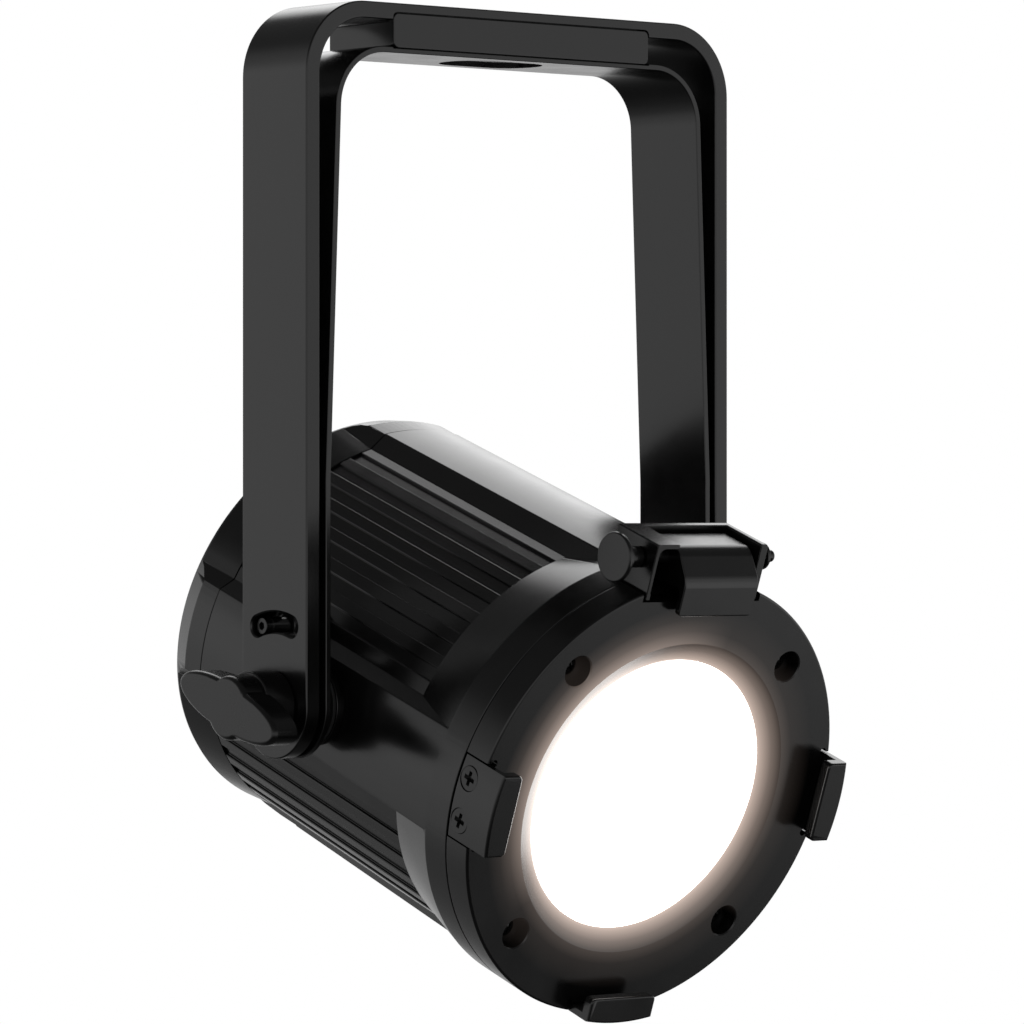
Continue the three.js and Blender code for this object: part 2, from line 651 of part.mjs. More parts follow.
function makeLedBoard() {
  const { r, back, front, chipRing, chip } = LED_BOARD;
  const chips = [0, 60, 120, 180, 240, 300].map((a) => {
    const p = polar(chipRing, a);
    return box(-chip, chip, front - 0.1, front + 1.1, -chip, chip).translate([p.x, 0, p.y]);
  });
  piece(head, 'led_board', join(rod(r, 'beam', back, front, 24), ...chips), aluminium());
}

// The reflector stands on the LED board and opens to just behind the lens.
function makeReflector() {
  const foot = LED_BOARD.front + GAP;
  const body = turned(
    [[20, foot], [26, foot], [49.5, 73], [48, 73], [48, 72.6], [24.6, foot + 1.4], [20, foot + 1.4],
      [20, foot]], 'beam', 28,
  );
  piece(head, 'reflector', body, steel());
}

// The power board stands on four pillars that reach the heat sink's fins.
function makeDriverBoard() {
  const [back, front] = [-52, -50.4];
  const pillars = [[-2, -1], [-2, 1], [2, -1], [2, 1]].map(([n, way]) => (
    rod(2.6, 'beam', front - 0.1, SINK.back - GAP, 10).translate([SINK.pitch * n, 0, 38 * way])
  ));
  const parts = join(
    box(-34, 34, back, front, -44, 44),
    box(-16, -2, front - 0.1, -38, 4, 30),
    box(4, 16, front - 0.1, -40, -30, 0),
    box(-30, -10, front - 0.1, -42, -30, -14),
    ...pillars,
  );
  piece(head, 'driver_board', parts, boardGreen());
}

// ---- rear panel ----
const SOCKETS = [
  ['power_in', -1, 0, 3], ['power_out', 1, 0, 3], ['data_in', -1, -29, 5], ['data_out', 1, -29, 5],
];
const BUTTONS = [-1.5, -0.5, 0.5, 1.5];
const DISPLAY = { half: 20, low: 28, high: 45 };

function makeRearPanel() {
  const { half, low, high } = DISPLAY;
  const holes = SOCKETS.map(([, way, w]) => (
    rod(SOCKET.r + GAP, 'beam', -84, -78, 16).translate([way * SOCKET.spread, 0, w])
  ));
  const buttons = BUTTONS.map((n) => (
    rod(BUTTON.r + GAP, 'beam', -84, -78, 12).translate([n * BUTTON.spacing, 0, BUTTON.row])
  ));
  const body = cut(
    rod(PANEL.r, 'beam', PANEL.face, PANEL.back, 48), ...holes, ...buttons,
    prism(rectangle(-half - GAP, half + GAP, low - GAP, high + GAP, 1.5), 'beam', -84, -78),
  );
  piece(head, 'rear_panel', body, blackPlastic());
  const pane = prism(rectangle(-half, half, low, high, 1.2), 'beam', PANEL.face - 0.4, PANEL.back);
  piece(head, 'display_window', pane, darkGlass());
  const pillars = [[-1, 18], [1, 18], [-1, 44], [1, 44]].map(([way, w]) => (
    rod(2, 'beam', PANEL.back + GAP, -74.5, 10).translate([27.5 * way, 0, w])
  ));
  piece(head, 'control_board', join(box(-30, 30, -74.6, -73, 14, 47), ...pillars), boardGreen());
}

function makeButtons() {
  BUTTONS.forEach((n, i) => {
    const body = turned(
      [[0, PANEL.face - BUTTON.out], [BUTTON.r - 0.5, PANEL.face - BUTTON.out],
        [BUTTON.r, PANEL.face - BUTTON.out + 0.5], [BUTTON.r, -79.4], [5.2, -79.4], [5.2, -78.2],
        [2, -78.2], [2, -76.2], [0, -76.2]], 'beam', 12,
    );
    piece(head, `button_${i + 1}`, body.translate([n * BUTTON.spacing, 0, BUTTON.row]), rubber());
  });
}

function makeSockets() {
  SOCKETS.forEach(([name, way, w, pins]) => {
    const face = PANEL.face - GAP;
    const flange = rectangle(-SOCKET.halfWide, SOCKET.halfWide, -SOCKET.halfHigh, SOCKET.halfHigh, 3);
    const contacts = [];
    for (let i = 0; i < pins; i += 1) {
      const p = polar(7.2, 90 + (360 * i) / pins);
      const contact = rod(0.9, 'beam', face - 0.5, face - 1.8 + SOCKET.depth + 0.1, 6);
      contacts.push(contact.translate([p.x, 0, p.y]));
    }
    const shell = cut(
      join(prism(flange, 'beam', face - 1.8, face), rod(SOCKET.r, 'beam', face - 0.1, -60, 16)),
      rod(SOCKET.mouth, 'beam', face - 3, face - 1.8 + SOCKET.depth, 16),
    );
    const body = join(shell, ...contacts).translate([way * SOCKET.spread, 0, w]);
    piece(head, name, body, blackPlastic());
  });
}

makeYoke();
makeYokeLiner();
makeClampBlock();
SIDES.forEach(([name, side]) => {
  makePivotBush(name, side);
  makeFrictionDisc(name, side);
  makeKnob(name, side);
});
makeStopPin();
makeHousing();
makeRearCap();
makeFrontRing();
makeRingScrews();
makeRearScrews();
makeClips();
makeLens();
makeLatchBracket();
makeLatchFlap();
makeLatchPin();
makeHeatSink();
makeLedBoard();
makeReflector();
makeDriverBoard();
makeRearPanel();
makeButtons();
makeSockets();

export default light;
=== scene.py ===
"""Looks for the par can light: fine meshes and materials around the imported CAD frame.

Each piece is drawn in millimetres in one of two local frames, both centred on the tilt axis:
ARMS for the yoke, and HEAD, turned with the beam, for everything on the head. In both, x is across
and z is up. In HEAD, y points to the rear, so a distance s along the beam is y = -s.
"""
import json
import math

import bmesh
import bpy
from mathutils import Matrix, Vector


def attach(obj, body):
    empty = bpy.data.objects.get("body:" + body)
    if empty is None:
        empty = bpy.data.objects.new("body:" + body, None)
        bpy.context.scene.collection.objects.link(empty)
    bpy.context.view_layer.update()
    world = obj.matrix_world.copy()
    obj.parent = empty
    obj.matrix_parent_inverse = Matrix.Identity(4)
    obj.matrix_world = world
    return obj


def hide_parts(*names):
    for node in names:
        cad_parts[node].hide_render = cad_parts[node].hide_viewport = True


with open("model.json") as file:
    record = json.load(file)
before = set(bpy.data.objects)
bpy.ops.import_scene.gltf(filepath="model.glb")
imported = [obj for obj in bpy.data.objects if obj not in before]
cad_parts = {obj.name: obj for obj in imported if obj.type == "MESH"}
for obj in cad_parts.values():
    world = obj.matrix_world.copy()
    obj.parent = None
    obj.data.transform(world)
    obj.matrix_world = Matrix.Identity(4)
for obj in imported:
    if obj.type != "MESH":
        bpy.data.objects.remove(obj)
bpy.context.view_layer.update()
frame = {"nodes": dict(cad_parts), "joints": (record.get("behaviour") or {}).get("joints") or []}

JOINTS = {j["name"]: j for j in frame["joints"]}
PIVOT = Vector(JOINTS["head_tilt"]["pos_m"])
BEAM = Vector(JOINTS["button_1_press"]["axis"]).normalized()
TILT = math.atan2(-BEAM.z, -BEAM.y)
MM = 0.001
ARMS = Matrix.Translation(PIVOT) @ Matrix.Scale(MM, 4)
HEAD = Matrix.Translation(PIVOT) @ Matrix.Rotation(TILT, 4, "X") @ Matrix.Scale(MM, 4)


def local_box(node, local):
    """A CAD node's lowest and highest corner in a local frame, in millimetres."""
    back = local.inverted()
    places = [back @ v.co for v in frame["nodes"][node].data.vertices]
    low = Vector([min(p[i] for p in places) for i in range(3)])
    high = Vector([max(p[i] for p in places) for i in range(3)])
    return low, high


def arm_box(node):
    return local_box(node, ARMS)


def head_box(node):
    return local_box(node, HEAD)


# ---- outlines and solids ----
def polar(r, degrees):
    a = math.radians(degrees)
    return (r * math.cos(a), r * math.sin(a))


def arc(cx, cy, r, a0, a1, steps):
    out = []
    for i in range(steps + 1):
        x, y = polar(r, a0 + (a1 - a0) * i / steps)
        out.append((cx + x, cy + y))
    return out


def fillet(points, radii, closed=True, steps=4):
    """The outline with each corner turned into an arc; radii is one number or one per corner."""
    count = len(points)
    out = []
    for i, point in enumerate(points):
        r = radii if isinstance(radii, (int, float)) else radii[i]
        if r == 0 or (not closed and i in (0, count - 1)):
            out.append(tuple(point))
            continue
        p = Vector(point)
        before = Vector(points[i - 1]) - p
        after = Vector(points[(i + 1) % count]) - p
        half = before.angle(after) / 2
        if half > math.pi / 2 - 0.01:
            out.append(tuple(point))
            continue
        reach = min(r / math.tan(half), 0.48 * before.length, 0.48 * after.length)
        radius = reach * math.tan(half)
        middle = (before.normalized() + after.normalized()).normalized()
        centre = p + middle * (radius / math.sin(half))
        start = p + before.normalized() * reach - centre
        end = p + after.normalized() * reach - centre
        turn = start.angle_signed(end)
        for k in range(steps + 1):
            spin = Matrix.Rotation(-turn * k / steps, 2)
            q = centre + spin @ start
            out.append((q.x, q.y))
    return out


def rectangle(a0, a1, b0, b1, r=0.0, steps=5):
    corners = [(a0, b0), (a1, b0), (a1, b1), (a0, b1)]
    return fillet(corners, r, steps=steps) if r else corners


PLACE = {
    "x": lambda a, b, t: (t, a, b),
    "beam": lambda a, b, t: (a, -t, b),
    "z": lambda a, b, t: (a, b, t),
}


def new_object(name, bm):
    bmesh.ops.remove_doubles(bm, verts=bm.verts, dist=1e-4)
    bmesh.ops.recalc_face_normals(bm, faces=bm.faces)
    mesh = bpy.data.meshes.new(name)
    bm.to_mesh(mesh)
    bm.free()
    obj = bpy.data.objects.new(name, mesh)
    bpy.context.scene.collection.objects.link(obj)
    return obj


def layered(name, layers):
    """A closed solid through rings of 3-D points, all with the same count, capped at both ends."""
    bm = bmesh.new()
    rings = [[bm.verts.new(p) for p in layer] for layer in layers]
    count = len(rings[0])
    for low, high in zip(rings, rings[1:]):
        for i in range(count):
            j = (i + 1) % count
            bm.faces.new((low[i], low[j], high[j], high[i]))
    bm.faces.new(list(reversed(rings[0])))
    bm.faces.new(rings[-1])
    return new_object(name, bm)


def prism(name, points, axis, a, b):
    place = PLACE[axis]
    return layered(name, [[place(*p, t) for p in points] for t in (a, b)])


def turned(name, profile, axis, steps=96):
    """A profile of (radius, distance) points turned about an axis; off-axis ends close on themselves."""
    place = PLACE[axis]
    bm = bmesh.new()
    rings = []
    for r, t in profile:
        if r < 1e-6:
            rings.append([bm.verts.new(place(0, 0, t))] * steps)
        else:
            rings.append([bm.verts.new(place(*polar(r, 360 * i / steps), t)) for i in range(steps)])
    if profile[0][0] > 1e-6:
        rings.append(rings[0])
    for low, high in zip(rings, rings[1:]):
        for i in range(steps):
            j = (i + 1) % steps
            corners = []
            for v in (low[i], low[j], high[j], high[i]):
                if v not in corners:
                    corners.append(v)
            if len(corners) > 2:
                bm.faces.new(corners)
    return new_object(name, bm)


def rod(name, r, axis, a, b, soft=0.0, steps=48):
    profile = fillet([(0, a), (r, a), (r, b), (0, b)], soft, closed=False, steps=3)
    return turned(name, profile, axis, steps)


def tube(name, inner, outer, axis, a, b, soft=0.0, steps=48):
    profile = fillet([(inner, a), (outer, a), (outer, b), (inner, b)], soft, steps=3)
    return turned(name, profile, axis, steps)


def moved(obj, x=0.0, y=0.0, z=0.0):
    obj.data.transform(Matrix.Translation((x, y, z)))
    return obj


def spun_round_beam(obj, degrees):
    obj.data.transform(Matrix.Rotation(math.radians(degrees), 4, "Y"))
    return obj


def applied(obj):
    graph = bpy.context.evaluated_depsgraph_get()
    mesh = bpy.data.meshes.new_from_object(obj.evaluated_get(graph))
    old = obj.data
    obj.modifiers.clear()
    obj.data = mesh
    bpy.data.meshes.remove(old)
    return obj


def boolean(obj, others, operation):
    for other in others:
        step = obj.modifiers.new("boolean", "BOOLEAN")
        step.operation = operation
        step.solver = "EXACT"
        step.object = other
        applied(obj)
        bpy.data.objects.remove(other)
    return obj


def join(obj, *others):
    return boolean(obj, others, "UNION")


def cut(obj, *others):
    return boolean(obj, others, "DIFFERENCE")


def meet(obj, *others):
    return boolean(obj, others, "INTERSECT")


def bevelled(obj, width, segments=3, angle=40):
    step = obj.modifiers.new("bevel", "BEVEL")
    step.width = width
    step.segments = segments
    step.limit_method = "ANGLE"
    step.angle_limit = math.radians(angle)
    step.use_clamp_overlap = False
    return applied(obj)


def shaded(obj, sharp=38):
    mesh = obj.data
    mesh.polygons.foreach_set("use_smooth", [True] * len(mesh.polygons))
    mesh.set_sharp_from_angle(angle=math.radians(sharp))
    step = obj.modifiers.new("normals", "WEIGHTED_NORMAL")
    step.keep_sharp = True
    step.weight = 80
    return applied(obj)


def finished(obj, local, body, material, node):
    """Shades the piece, puts it in the row frame, hangs it under its body's empty and hides the CAD node
    it stands for.
    """
    obj.data.materials.clear()
    obj.data.materials.append(material)
    shaded(obj)
    obj.data.transform(local)
    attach(obj, body)
    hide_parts(node)


def finished_steel(obj, body, node):
    finished(obj, HEAD, body, DARK_STEEL, node)


# ---- materials ----
def node_material(name):
    material = bpy.data.materials.new(name)
    material.use_nodes = True
    tree = material.node_tree
    return material, tree, tree.nodes["Principled BSDF"]


def object_place(tree):
    return tree.nodes.new("ShaderNodeTexCoord").outputs["Object"]


def vector_math(tree, operation):
    node = tree.nodes.new("ShaderNodeVectorMath")
    node.operation = operation
    return node


def combined(tree, operation, a, b):
    """One number from two, by a Math node's operation."""
    node = tree.nodes.new("ShaderNodeMath")
    node.operation = operation
    tree.links.new(a, node.inputs[0])
    tree.links.new(b, node.inputs[1])
    return node.outputs["Value"]


def noise(tree, scale, detail=3.0, rough=0.55, place=None):
    texture = tree.nodes.new("ShaderNodeTexNoise")
    texture.inputs["Scale"].default_value = scale
    texture.inputs["Detail"].default_value = detail
    texture.inputs["Roughness"].default_value = rough
    tree.links.new(place or object_place(tree), texture.inputs["Vector"])
    return texture.outputs["Fac"]


def ramp(tree, source, low, high, start=0.3, end=0.7):
    steps = tree.nodes.new("ShaderNodeValToRGB")
    steps.color_ramp.elements[0].position = start
    steps.color_ramp.elements[1].position = end
    steps.color_ramp.elements[0].color = low
    steps.color_ramp.elements[1].color = high
    tree.links.new(source, steps.inputs["Fac"])
    return steps.outputs["Color"]


def remap(tree, source, low, high, start=0.3, end=0.7):
    node = tree.nodes.new("ShaderNodeMapRange")
    node.inputs["From Min"].default_value = start
    node.inputs["From Max"].default_value = end
    node.inputs["To Min"].default_value = low
    node.inputs["To Max"].default_value = high
    tree.links.new(source, node.inputs["Value"])
    return node.outputs["Result"]


def bump(tree, source, strength, distance):
    node = tree.nodes.new("ShaderNodeBump")
    node.inputs["Strength"].default_value = strength
    node.inputs["Distance"].default_value = distance
    tree.links.new(source, node.inputs["Height"])
    return node.outputs["Normal"]


def grey(value, warm=1.0):
    return (value * warm, value, value / warm, 1.0)


def coated(name, dark, pale, rough, grain=2600, relief=0.12, metallic=0.0, specular=0.5):
    """A finish with a fine grain: colour drifts from dark to pale and roughness over its pair."""
    material, tree, shader = node_material(name)
    cloud = noise(tree, 60, 4)
    fine = noise(tree, grain, 2)
    tree.links.new(ramp(tree, cloud, grey(dark), grey(pale)), shader.inputs["Base Color"])
    tree.links.new(remap(tree, cloud, *rough), shader.inputs["Roughness"])
    tree.links.new(bump(tree, fine, relief, 0.00005), shader.inputs["Normal"])
    shader.inputs["Metallic"].default_value = metallic
    shader.inputs["Specular IOR Level"].default_value = specular
    return material


def brushed(name, base, rough, stretch=(1, 1, 60)):
    material, tree, shader = node_material(name)
    mapping = tree.nodes.new("ShaderNodeMapping")
    mapping.inputs["Scale"].default_value = stretch
    tree.links.new(object_place(tree), mapping.inputs["Vector"])
    streaks = noise(tree, 160, 2, 0.5, mapping.outputs["Vector"])
    tree.links.new(ramp(tree, streaks, grey(base * 0.85), grey(base)), shader.inputs["Base Color"])
    tree.links.new(remap(tree, streaks, rough * 0.8, rough * 1.2), shader.inputs["Roughness"])
    shader.inputs["Metallic"].default_value = 1.0
    return material


PAINT = coated("black_paint", 0.0035, 0.005, (0.18, 0.23), relief=0.1)
PLASTIC = coated("black_plastic", 0.004, 0.006, (0.24, 0.3), grain=1800, relief=0.15, specular=0.45)
DARK_STEEL = coated("dark_steel", 0.006, 0.009, (0.2, 0.25), grain=3000, relief=0.06, metallic=0.12)
RUBBER = coated("rubber", 0.012, 0.016, (0.7, 0.8), grain=1500, relief=0.3)
BRIGHT_STEEL = brushed("bright_steel", 0.55, 0.3)
ALUMINIUM = brushed("aluminium", 0.6, 0.38)


def board_material():
    material, tree, shader = node_material("circuit_board")
    tracks = tree.nodes.new("ShaderNodeTexBrick")
    tracks.inputs["Scale"].default_value = 260
    tracks.inputs["Color1"].default_value = (0.01, 0.07, 0.03, 1)
    tracks.inputs["Color2"].default_value = (0.014, 0.09, 0.036, 1)
    tracks.inputs["Mortar"].default_value = (0.03, 0.14, 0.06, 1)
    tree.links.new(object_place(tree), tracks.inputs["Vector"])
    tree.links.new(tracks.outputs["Color"], shader.inputs["Base Color"])
    tree.links.new(bump(tree, tracks.outputs["Fac"], 0.2, 0.0001), shader.inputs["Normal"])
    shader.inputs["Roughness"].default_value = 0.45
    return material


def glass_material():
    material, tree, shader = node_material("display_glass")
    smudge = noise(tree, 90, 5)
    tree.links.new(remap(tree, smudge, 0.04, 0.14), shader.inputs["Roughness"])
    tree.links.new(ramp(tree, smudge, (0.003, 0.004, 0.005, 1), (0.005, 0.007, 0.009, 1)),
                   shader.inputs["Base Color"])
    shader.inputs["Coat Weight"].default_value = 0.6
    shader.inputs["Coat Roughness"].default_value = 0.04
    return material


def place_on_head(tree):
    """Millimetres from the beam's axis, the direction outwards, and the distance behind the pivot."""
    shift = tree.nodes.new("ShaderNodeMapping")
    shift.vector_type = "POINT"
    shift.inputs["Scale"].default_value = (1 / MM, 1 / MM, 1 / MM)
    shift.inputs["Rotation"].default_value = (-TILT, 0, 0)
    shift.inputs["Location"].default_value = HEAD.inverted().translation
    tree.links.new(object_place(tree), shift.inputs["Vector"])
    flat = vector_math(tree, "MULTIPLY")
    flat.inputs[1].default_value = (1, 0, 1)
    tree.links.new(shift.outputs["Vector"], flat.inputs[0])
    length = vector_math(tree, "LENGTH")
    unit = vector_math(tree, "NORMALIZE")
    for node in (length, unit):
        tree.links.new(flat.outputs["Vector"], node.inputs[0])
    place = tree.nodes.new("ShaderNodeSeparateXYZ")
    tree.links.new(shift.outputs["Vector"], place.inputs["Vector"])
    return length.outputs["Value"], unit.outputs["Vector"], place.outputs["Y"]


def glow(tree, reach, levels):
    """Painted warm light, as emission colour, that changes outwards through (place, brightness) steps,
    place from 0 to 1.
    """
    fade = tree.nodes.new("ShaderNodeValToRGB")
    stops = fade.color_ramp
    stops.elements[0].color = (0, 0, 0, 1)
    stops.elements[1].color = (0, 0, 0, 1)
    for place, level in levels:
        stop = stops.elements.new(place)
        stop.color = (level, GLOW_GREEN * level, GLOW_BLUE * level, 1)
    tree.links.new(reach, fade.inputs["Fac"])
    return fade.outputs["Color"]


def lens_material():
    """A frosted diffuser lit from behind, a little warmer towards its rim."""
    material, tree, shader = node_material("lit_lens")
    radius = place_on_head(tree)[0]
    rim = remap(tree, radius, 0, 1, LENS_EVEN_R, LENS_R)
    tint = ramp(tree, rim, (1, 0.98, 0.965, 1), (1, 0.93, 0.88, 1), 0, 1)
    frost = noise(tree, 700, 3)
    tree.links.new(tint, shader.inputs["Emission Color"])
    tree.links.new(remap(tree, frost, 0.3, 0.45), shader.inputs["Roughness"])
    tree.links.new(bump(tree, frost, 0.1, 0.0001), shader.inputs["Normal"])
    shader.inputs["Emission Strength"].default_value = LENS_BRIGHTNESS
    shader.inputs["Base Color"].default_value = (0.9, 0.88, 0.86, 1)
    return material


def ring_material():
    """The black paint with the lens's glow painted on it as emission, standing in for the lens's light.

    The painted spill lies all round the funnel. The painted halo lies on the flat face only, and on one
    side.
    """
    material = PAINT.copy()
    material.name = "ring_paint_and_painted_glow"
    tree = material.node_tree
    shader = tree.nodes["Principled BSDF"]
    radius, outward, behind = place_on_head(tree)
    reach = remap(tree, radius, 0, 1, LENS_R, LENS_R + GLOW_REACH)
    spill, halo = (glow(tree, reach, levels) for levels in (GLOW_SPILL, GLOW_HALO))
    facing = vector_math(tree, "DOT_PRODUCT")
    x, z = polar(1, GLOW_SIDE)
    facing.inputs[1].default_value = (x, 0, z)
    tree.links.new(outward, facing.inputs[0])
    on_side = remap(tree, facing.outputs["Value"], 0, 1, GLOW_SIDE_EDGE, 1)
    on_face = remap(tree, behind, 0, 1, 0.6 - RING_FRONT, 0.3 - RING_FRONT)
    total = vector_math(tree, "MULTIPLY_ADD")
    tree.links.new(combined(tree, "MULTIPLY", on_side, on_face), total.inputs[0])
    tree.links.new(halo, total.inputs[1])
    tree.links.new(spill, total.inputs[2])
    tree.links.new(total.outputs["Vector"], shader.inputs["Emission Color"])
    shader.inputs["Emission Strength"].default_value = 1.0
    return material


# ---- sizes in millimetres, from the frame where a node's box gives them ----
YOKE_LOW, YOKE_HIGH = arm_box("yoke")
LINER_LOW, LINER_HIGH = arm_box("yoke_liner")
BLOCK_LOW, BLOCK_HIGH = arm_box("clamp_block")
RING_LOW, RING_HIGH = head_box("front_ring")
CAP_LOW, CAP_HIGH = head_box("rear_cap")
HOUSING_LOW, HOUSING_HIGH = head_box("main_housing")
LENS_LOW, LENS_HIGH = head_box("lens")
CLIP_LOW, CLIP_HIGH = head_box("clip_bottom")
BRACKET_LOW, BRACKET_HIGH = head_box("latch_bracket")
FLAP_LOW, FLAP_HIGH = head_box("latch_flap")
PIN_LOW, PIN_HIGH = head_box("latch_pin")
PANEL_LOW, PANEL_HIGH = head_box("rear_panel")
KNOB_LOW, _ = head_box("knob_left")

TOP = YOKE_HIGH.z
HALF_DEPTH = YOKE_HIGH.y
STRAP = 5.5
CORNER = 24.0
LINER_WALL = 2.0
LINER_BEND = 72.0
LINER_NARROW = 75.8
LINER_CORNER = 18.0
SLOT_RADIUS = 27.0
SLOT_HALF_WIDTH = 3.35
SLOT_HALF_ANGLE = 19.0
# The wall round the slot on the arm's inner side: how wide and how high it stands.
SLOT_RIM, SLOT_RIM_HEIGHT = 1.05, 1.9
SLEEVE_HOLE = 6.3
BOLT_R = 6.5
ACCESS_HALF_LENGTH, ACCESS_HALF_WIDTH = 18.5, 11.3
COVER_CORNER = 1.8
# Clearance between pieces that touch, and the holes for the small screws and the knobs' studs.
GAP = 0.3
SCREW_HOLE_R = 1.8
STUD_HOLE_R = 4.4

RING_R = -HOUSING_LOW.z
RING_FRONT = -RING_LOW.y
RING_REAR = -RING_HIGH.y
FLANGE_FRONT = -HOUSING_LOW.y
HOUSING_REAR = -HOUSING_HIGH.y
CAP_FRONT = -CAP_LOW.y
CAP_REAR = -CAP_HIGH.y
RIM_R = 68.9
CAP_BAND_R = 71.8
CAP_CHAMFER = -73.0
BORE_R, THROAT_R = 59.5, 55.0
BORE_FRONT, BORE_REAR = 64.5, -77.5
LENS_R = 45.6
LENS_FACE = -LENS_LOW.y
LENS_MOUTH = 52.8
LENS_SEAT = LENS_HIGH.x
LENS_EVEN_R = 36.0
LENS_BRIGHTNESS = 3.2
# The painted glow on the ring reaches this far past the lens, in this colour next to red 1. Its
# painted halo is on the side at GLOW_SIDE degrees and ends where the cosine from there falls to
# GLOW_SIDE_EDGE.
GLOW_REACH = 20.0
GLOW_GREEN, GLOW_BLUE = 0.79, 0.68
GLOW_SIDE = 146
GLOW_SIDE_EDGE = 0.3
GLOW_SPILL = ((0.001, 0.68), (0.07, 0.46), (0.14, 0.32), (0.22, 0.18), (0.36, 0.055), (0.57, 0.014))
GLOW_HALO = ((0.345, 0.0), (0.36, 0.29), (0.42, 0.23), (0.57, 0.115), (0.77, 0.025))
FIN_PITCH = 7.47
FIN_DEPTH = 0.9
FIN_FRONT = 41.5
RAMP_FRONT = 63.5
RAMP_FOOT_R = 69.0
# Degrees from a smooth band's middle to its edge, to the foot of its edge, and to the next stretch.
TOP_EDGE, TOP_FOOT, SIDE_FOOT, BAND_END = 12.4, 17.3, 16.5, 18
SIDES = (("left", -1), ("right", 1))
DIAGONALS = (45, 135, 225, 315)
RING_SCREW_R, RING_COUNTERBORE_R = 62.5, 5.05
REAR_SCREW_R, REAR_COUNTERBORE_R = 63.0, 3.3
SCREW_SEAT = 79.3
LATCH_SCREW_S = 70.5
LATCH_SCREW_PLACES = (-16.5, 16.5)
BOSS_ROOT, BOSS_FACE = 66.0, 74.5
STOP_POST_R = 4.4
# The latch bracket's pocket. Outlines that only have to clear the ring's edge reach PAST_RING.
POCKET_HALF = 24.6
POCKET_FLOOR = 67.0
PAST_RING = 80.0
BRACKET_REAR_ROOM = -BRACKET_HIGH.y - 0.4
# The ring's material is its black paint with painted glow from the lens, an emission that stands in for
# light spill.
RING_PAINT_AND_PAINTED_GLOW = ring_material()
LENS_GLOW = lens_material()


# ---- yoke ----
def strap_outline(low, high, bend, top, corner, bottom, steps=20):
    right = [(low, bottom), (low, bend)] if low != high else [(low, bottom)]
    right += arc(high - corner, top - corner, corner, 0, 90, steps)
    return right + [(-x, z) for x, z in reversed(right)]


def bend_softened(points, bend):
    """Rounds the liner's slight bend, which is a corner at the given height."""
    radii = [60.0 if abs(z - bend) < 1e-6 else 0 for _, z in points]
    return fillet(points, radii, steps=6)


def arm_ends():
    bottom = arc(0, 0, HALF_DEPTH, 180, 360, 48)
    outline = bottom + [(HALF_DEPTH, TOP + 5), (-HALF_DEPTH, TOP + 5)]
    return prism("arm_ends", outline, "x", YOKE_LOW.x - 5, YOKE_HIGH.x + 5)


def arc_slot(half_width, a, b):
    low, high = 90 - SLOT_HALF_ANGLE, 90 + SLOT_HALF_ANGLE
    end_low, end_high = polar(SLOT_RADIUS, low), polar(SLOT_RADIUS, high)
    points = arc(0, 0, SLOT_RADIUS + half_width, low, high, 16)
    points += arc(*end_high, half_width, high, high + 180, 14)[1:-1]
    points += arc(0, 0, SLOT_RADIUS - half_width, high, low, 16)
    points += arc(*end_low, half_width, low - 180, low, 14)[1:-1]
    return prism("arc_slot", points, "x", a, b)


def arc_slot_mouth(half_width, face, lip):
    """The slot's outer rim: a short flare from the slot's width to a little more at the face."""
    rings = []
    for grow, x in ((lip, face - 0.01), (0.0, face + lip)):
        flat = arc_slot(half_width + grow, 0, 1)
        rings.append([(x, v.co.y, v.co.z) for v in flat.data.vertices if v.co.x < 0.5])
        bpy.data.objects.remove(flat)
    return layered("slot_mouth", rings)


def make_yoke():
    half = YOKE_HIGH.x
    bottom = YOKE_LOW.z - 5
    outer = strap_outline(half, half, 0, TOP, CORNER, bottom, 28)
    inner = strap_outline(half - STRAP, half - STRAP, 0, TOP - STRAP, CORNER - STRAP, bottom, 28)
    outline = outer + list(reversed(inner))
    body = prism("yoke_fine", outline, "beam", -HALF_DEPTH, HALF_DEPTH)
    body = bevelled(meet(body, arm_ends()), 0.55, 3, 50)
    rim = arc_slot(SLOT_HALF_WIDTH + SLOT_RIM, 0.1 - half, -half + STRAP + SLOT_RIM_HEIGHT)
    block = BLOCK_HIGH.x + GAP
    rebate = rectangle(-block, block, BLOCK_LOW.z - GAP, TOP - 2.9, COVER_CORNER)
    rebate = prism("rebate", rebate, "beam", HALF_DEPTH - 2.7, HALF_DEPTH + 1)
    mouth = [(0, TOP - 0.5), (BOLT_R, TOP - 0.5), (BOLT_R + 0.51, TOP + 0.01), (0, TOP + 0.01)]
    body = cut(
        join(body, rim), arc_slot(SLOT_HALF_WIDTH, -half - 1, 0),
        arc_slot_mouth(SLOT_HALF_WIDTH, -half, 0.5), rebate,
        rod("bolt", BOLT_R, "z", TOP - STRAP - 1, TOP + 1),
        turned("mouth", mouth, "z"),
        rod("pivot", SLEEVE_HOLE, "x", -half - 1, half + 1),
    )
    finished(body, ARMS, "yoke", PAINT, "yoke")


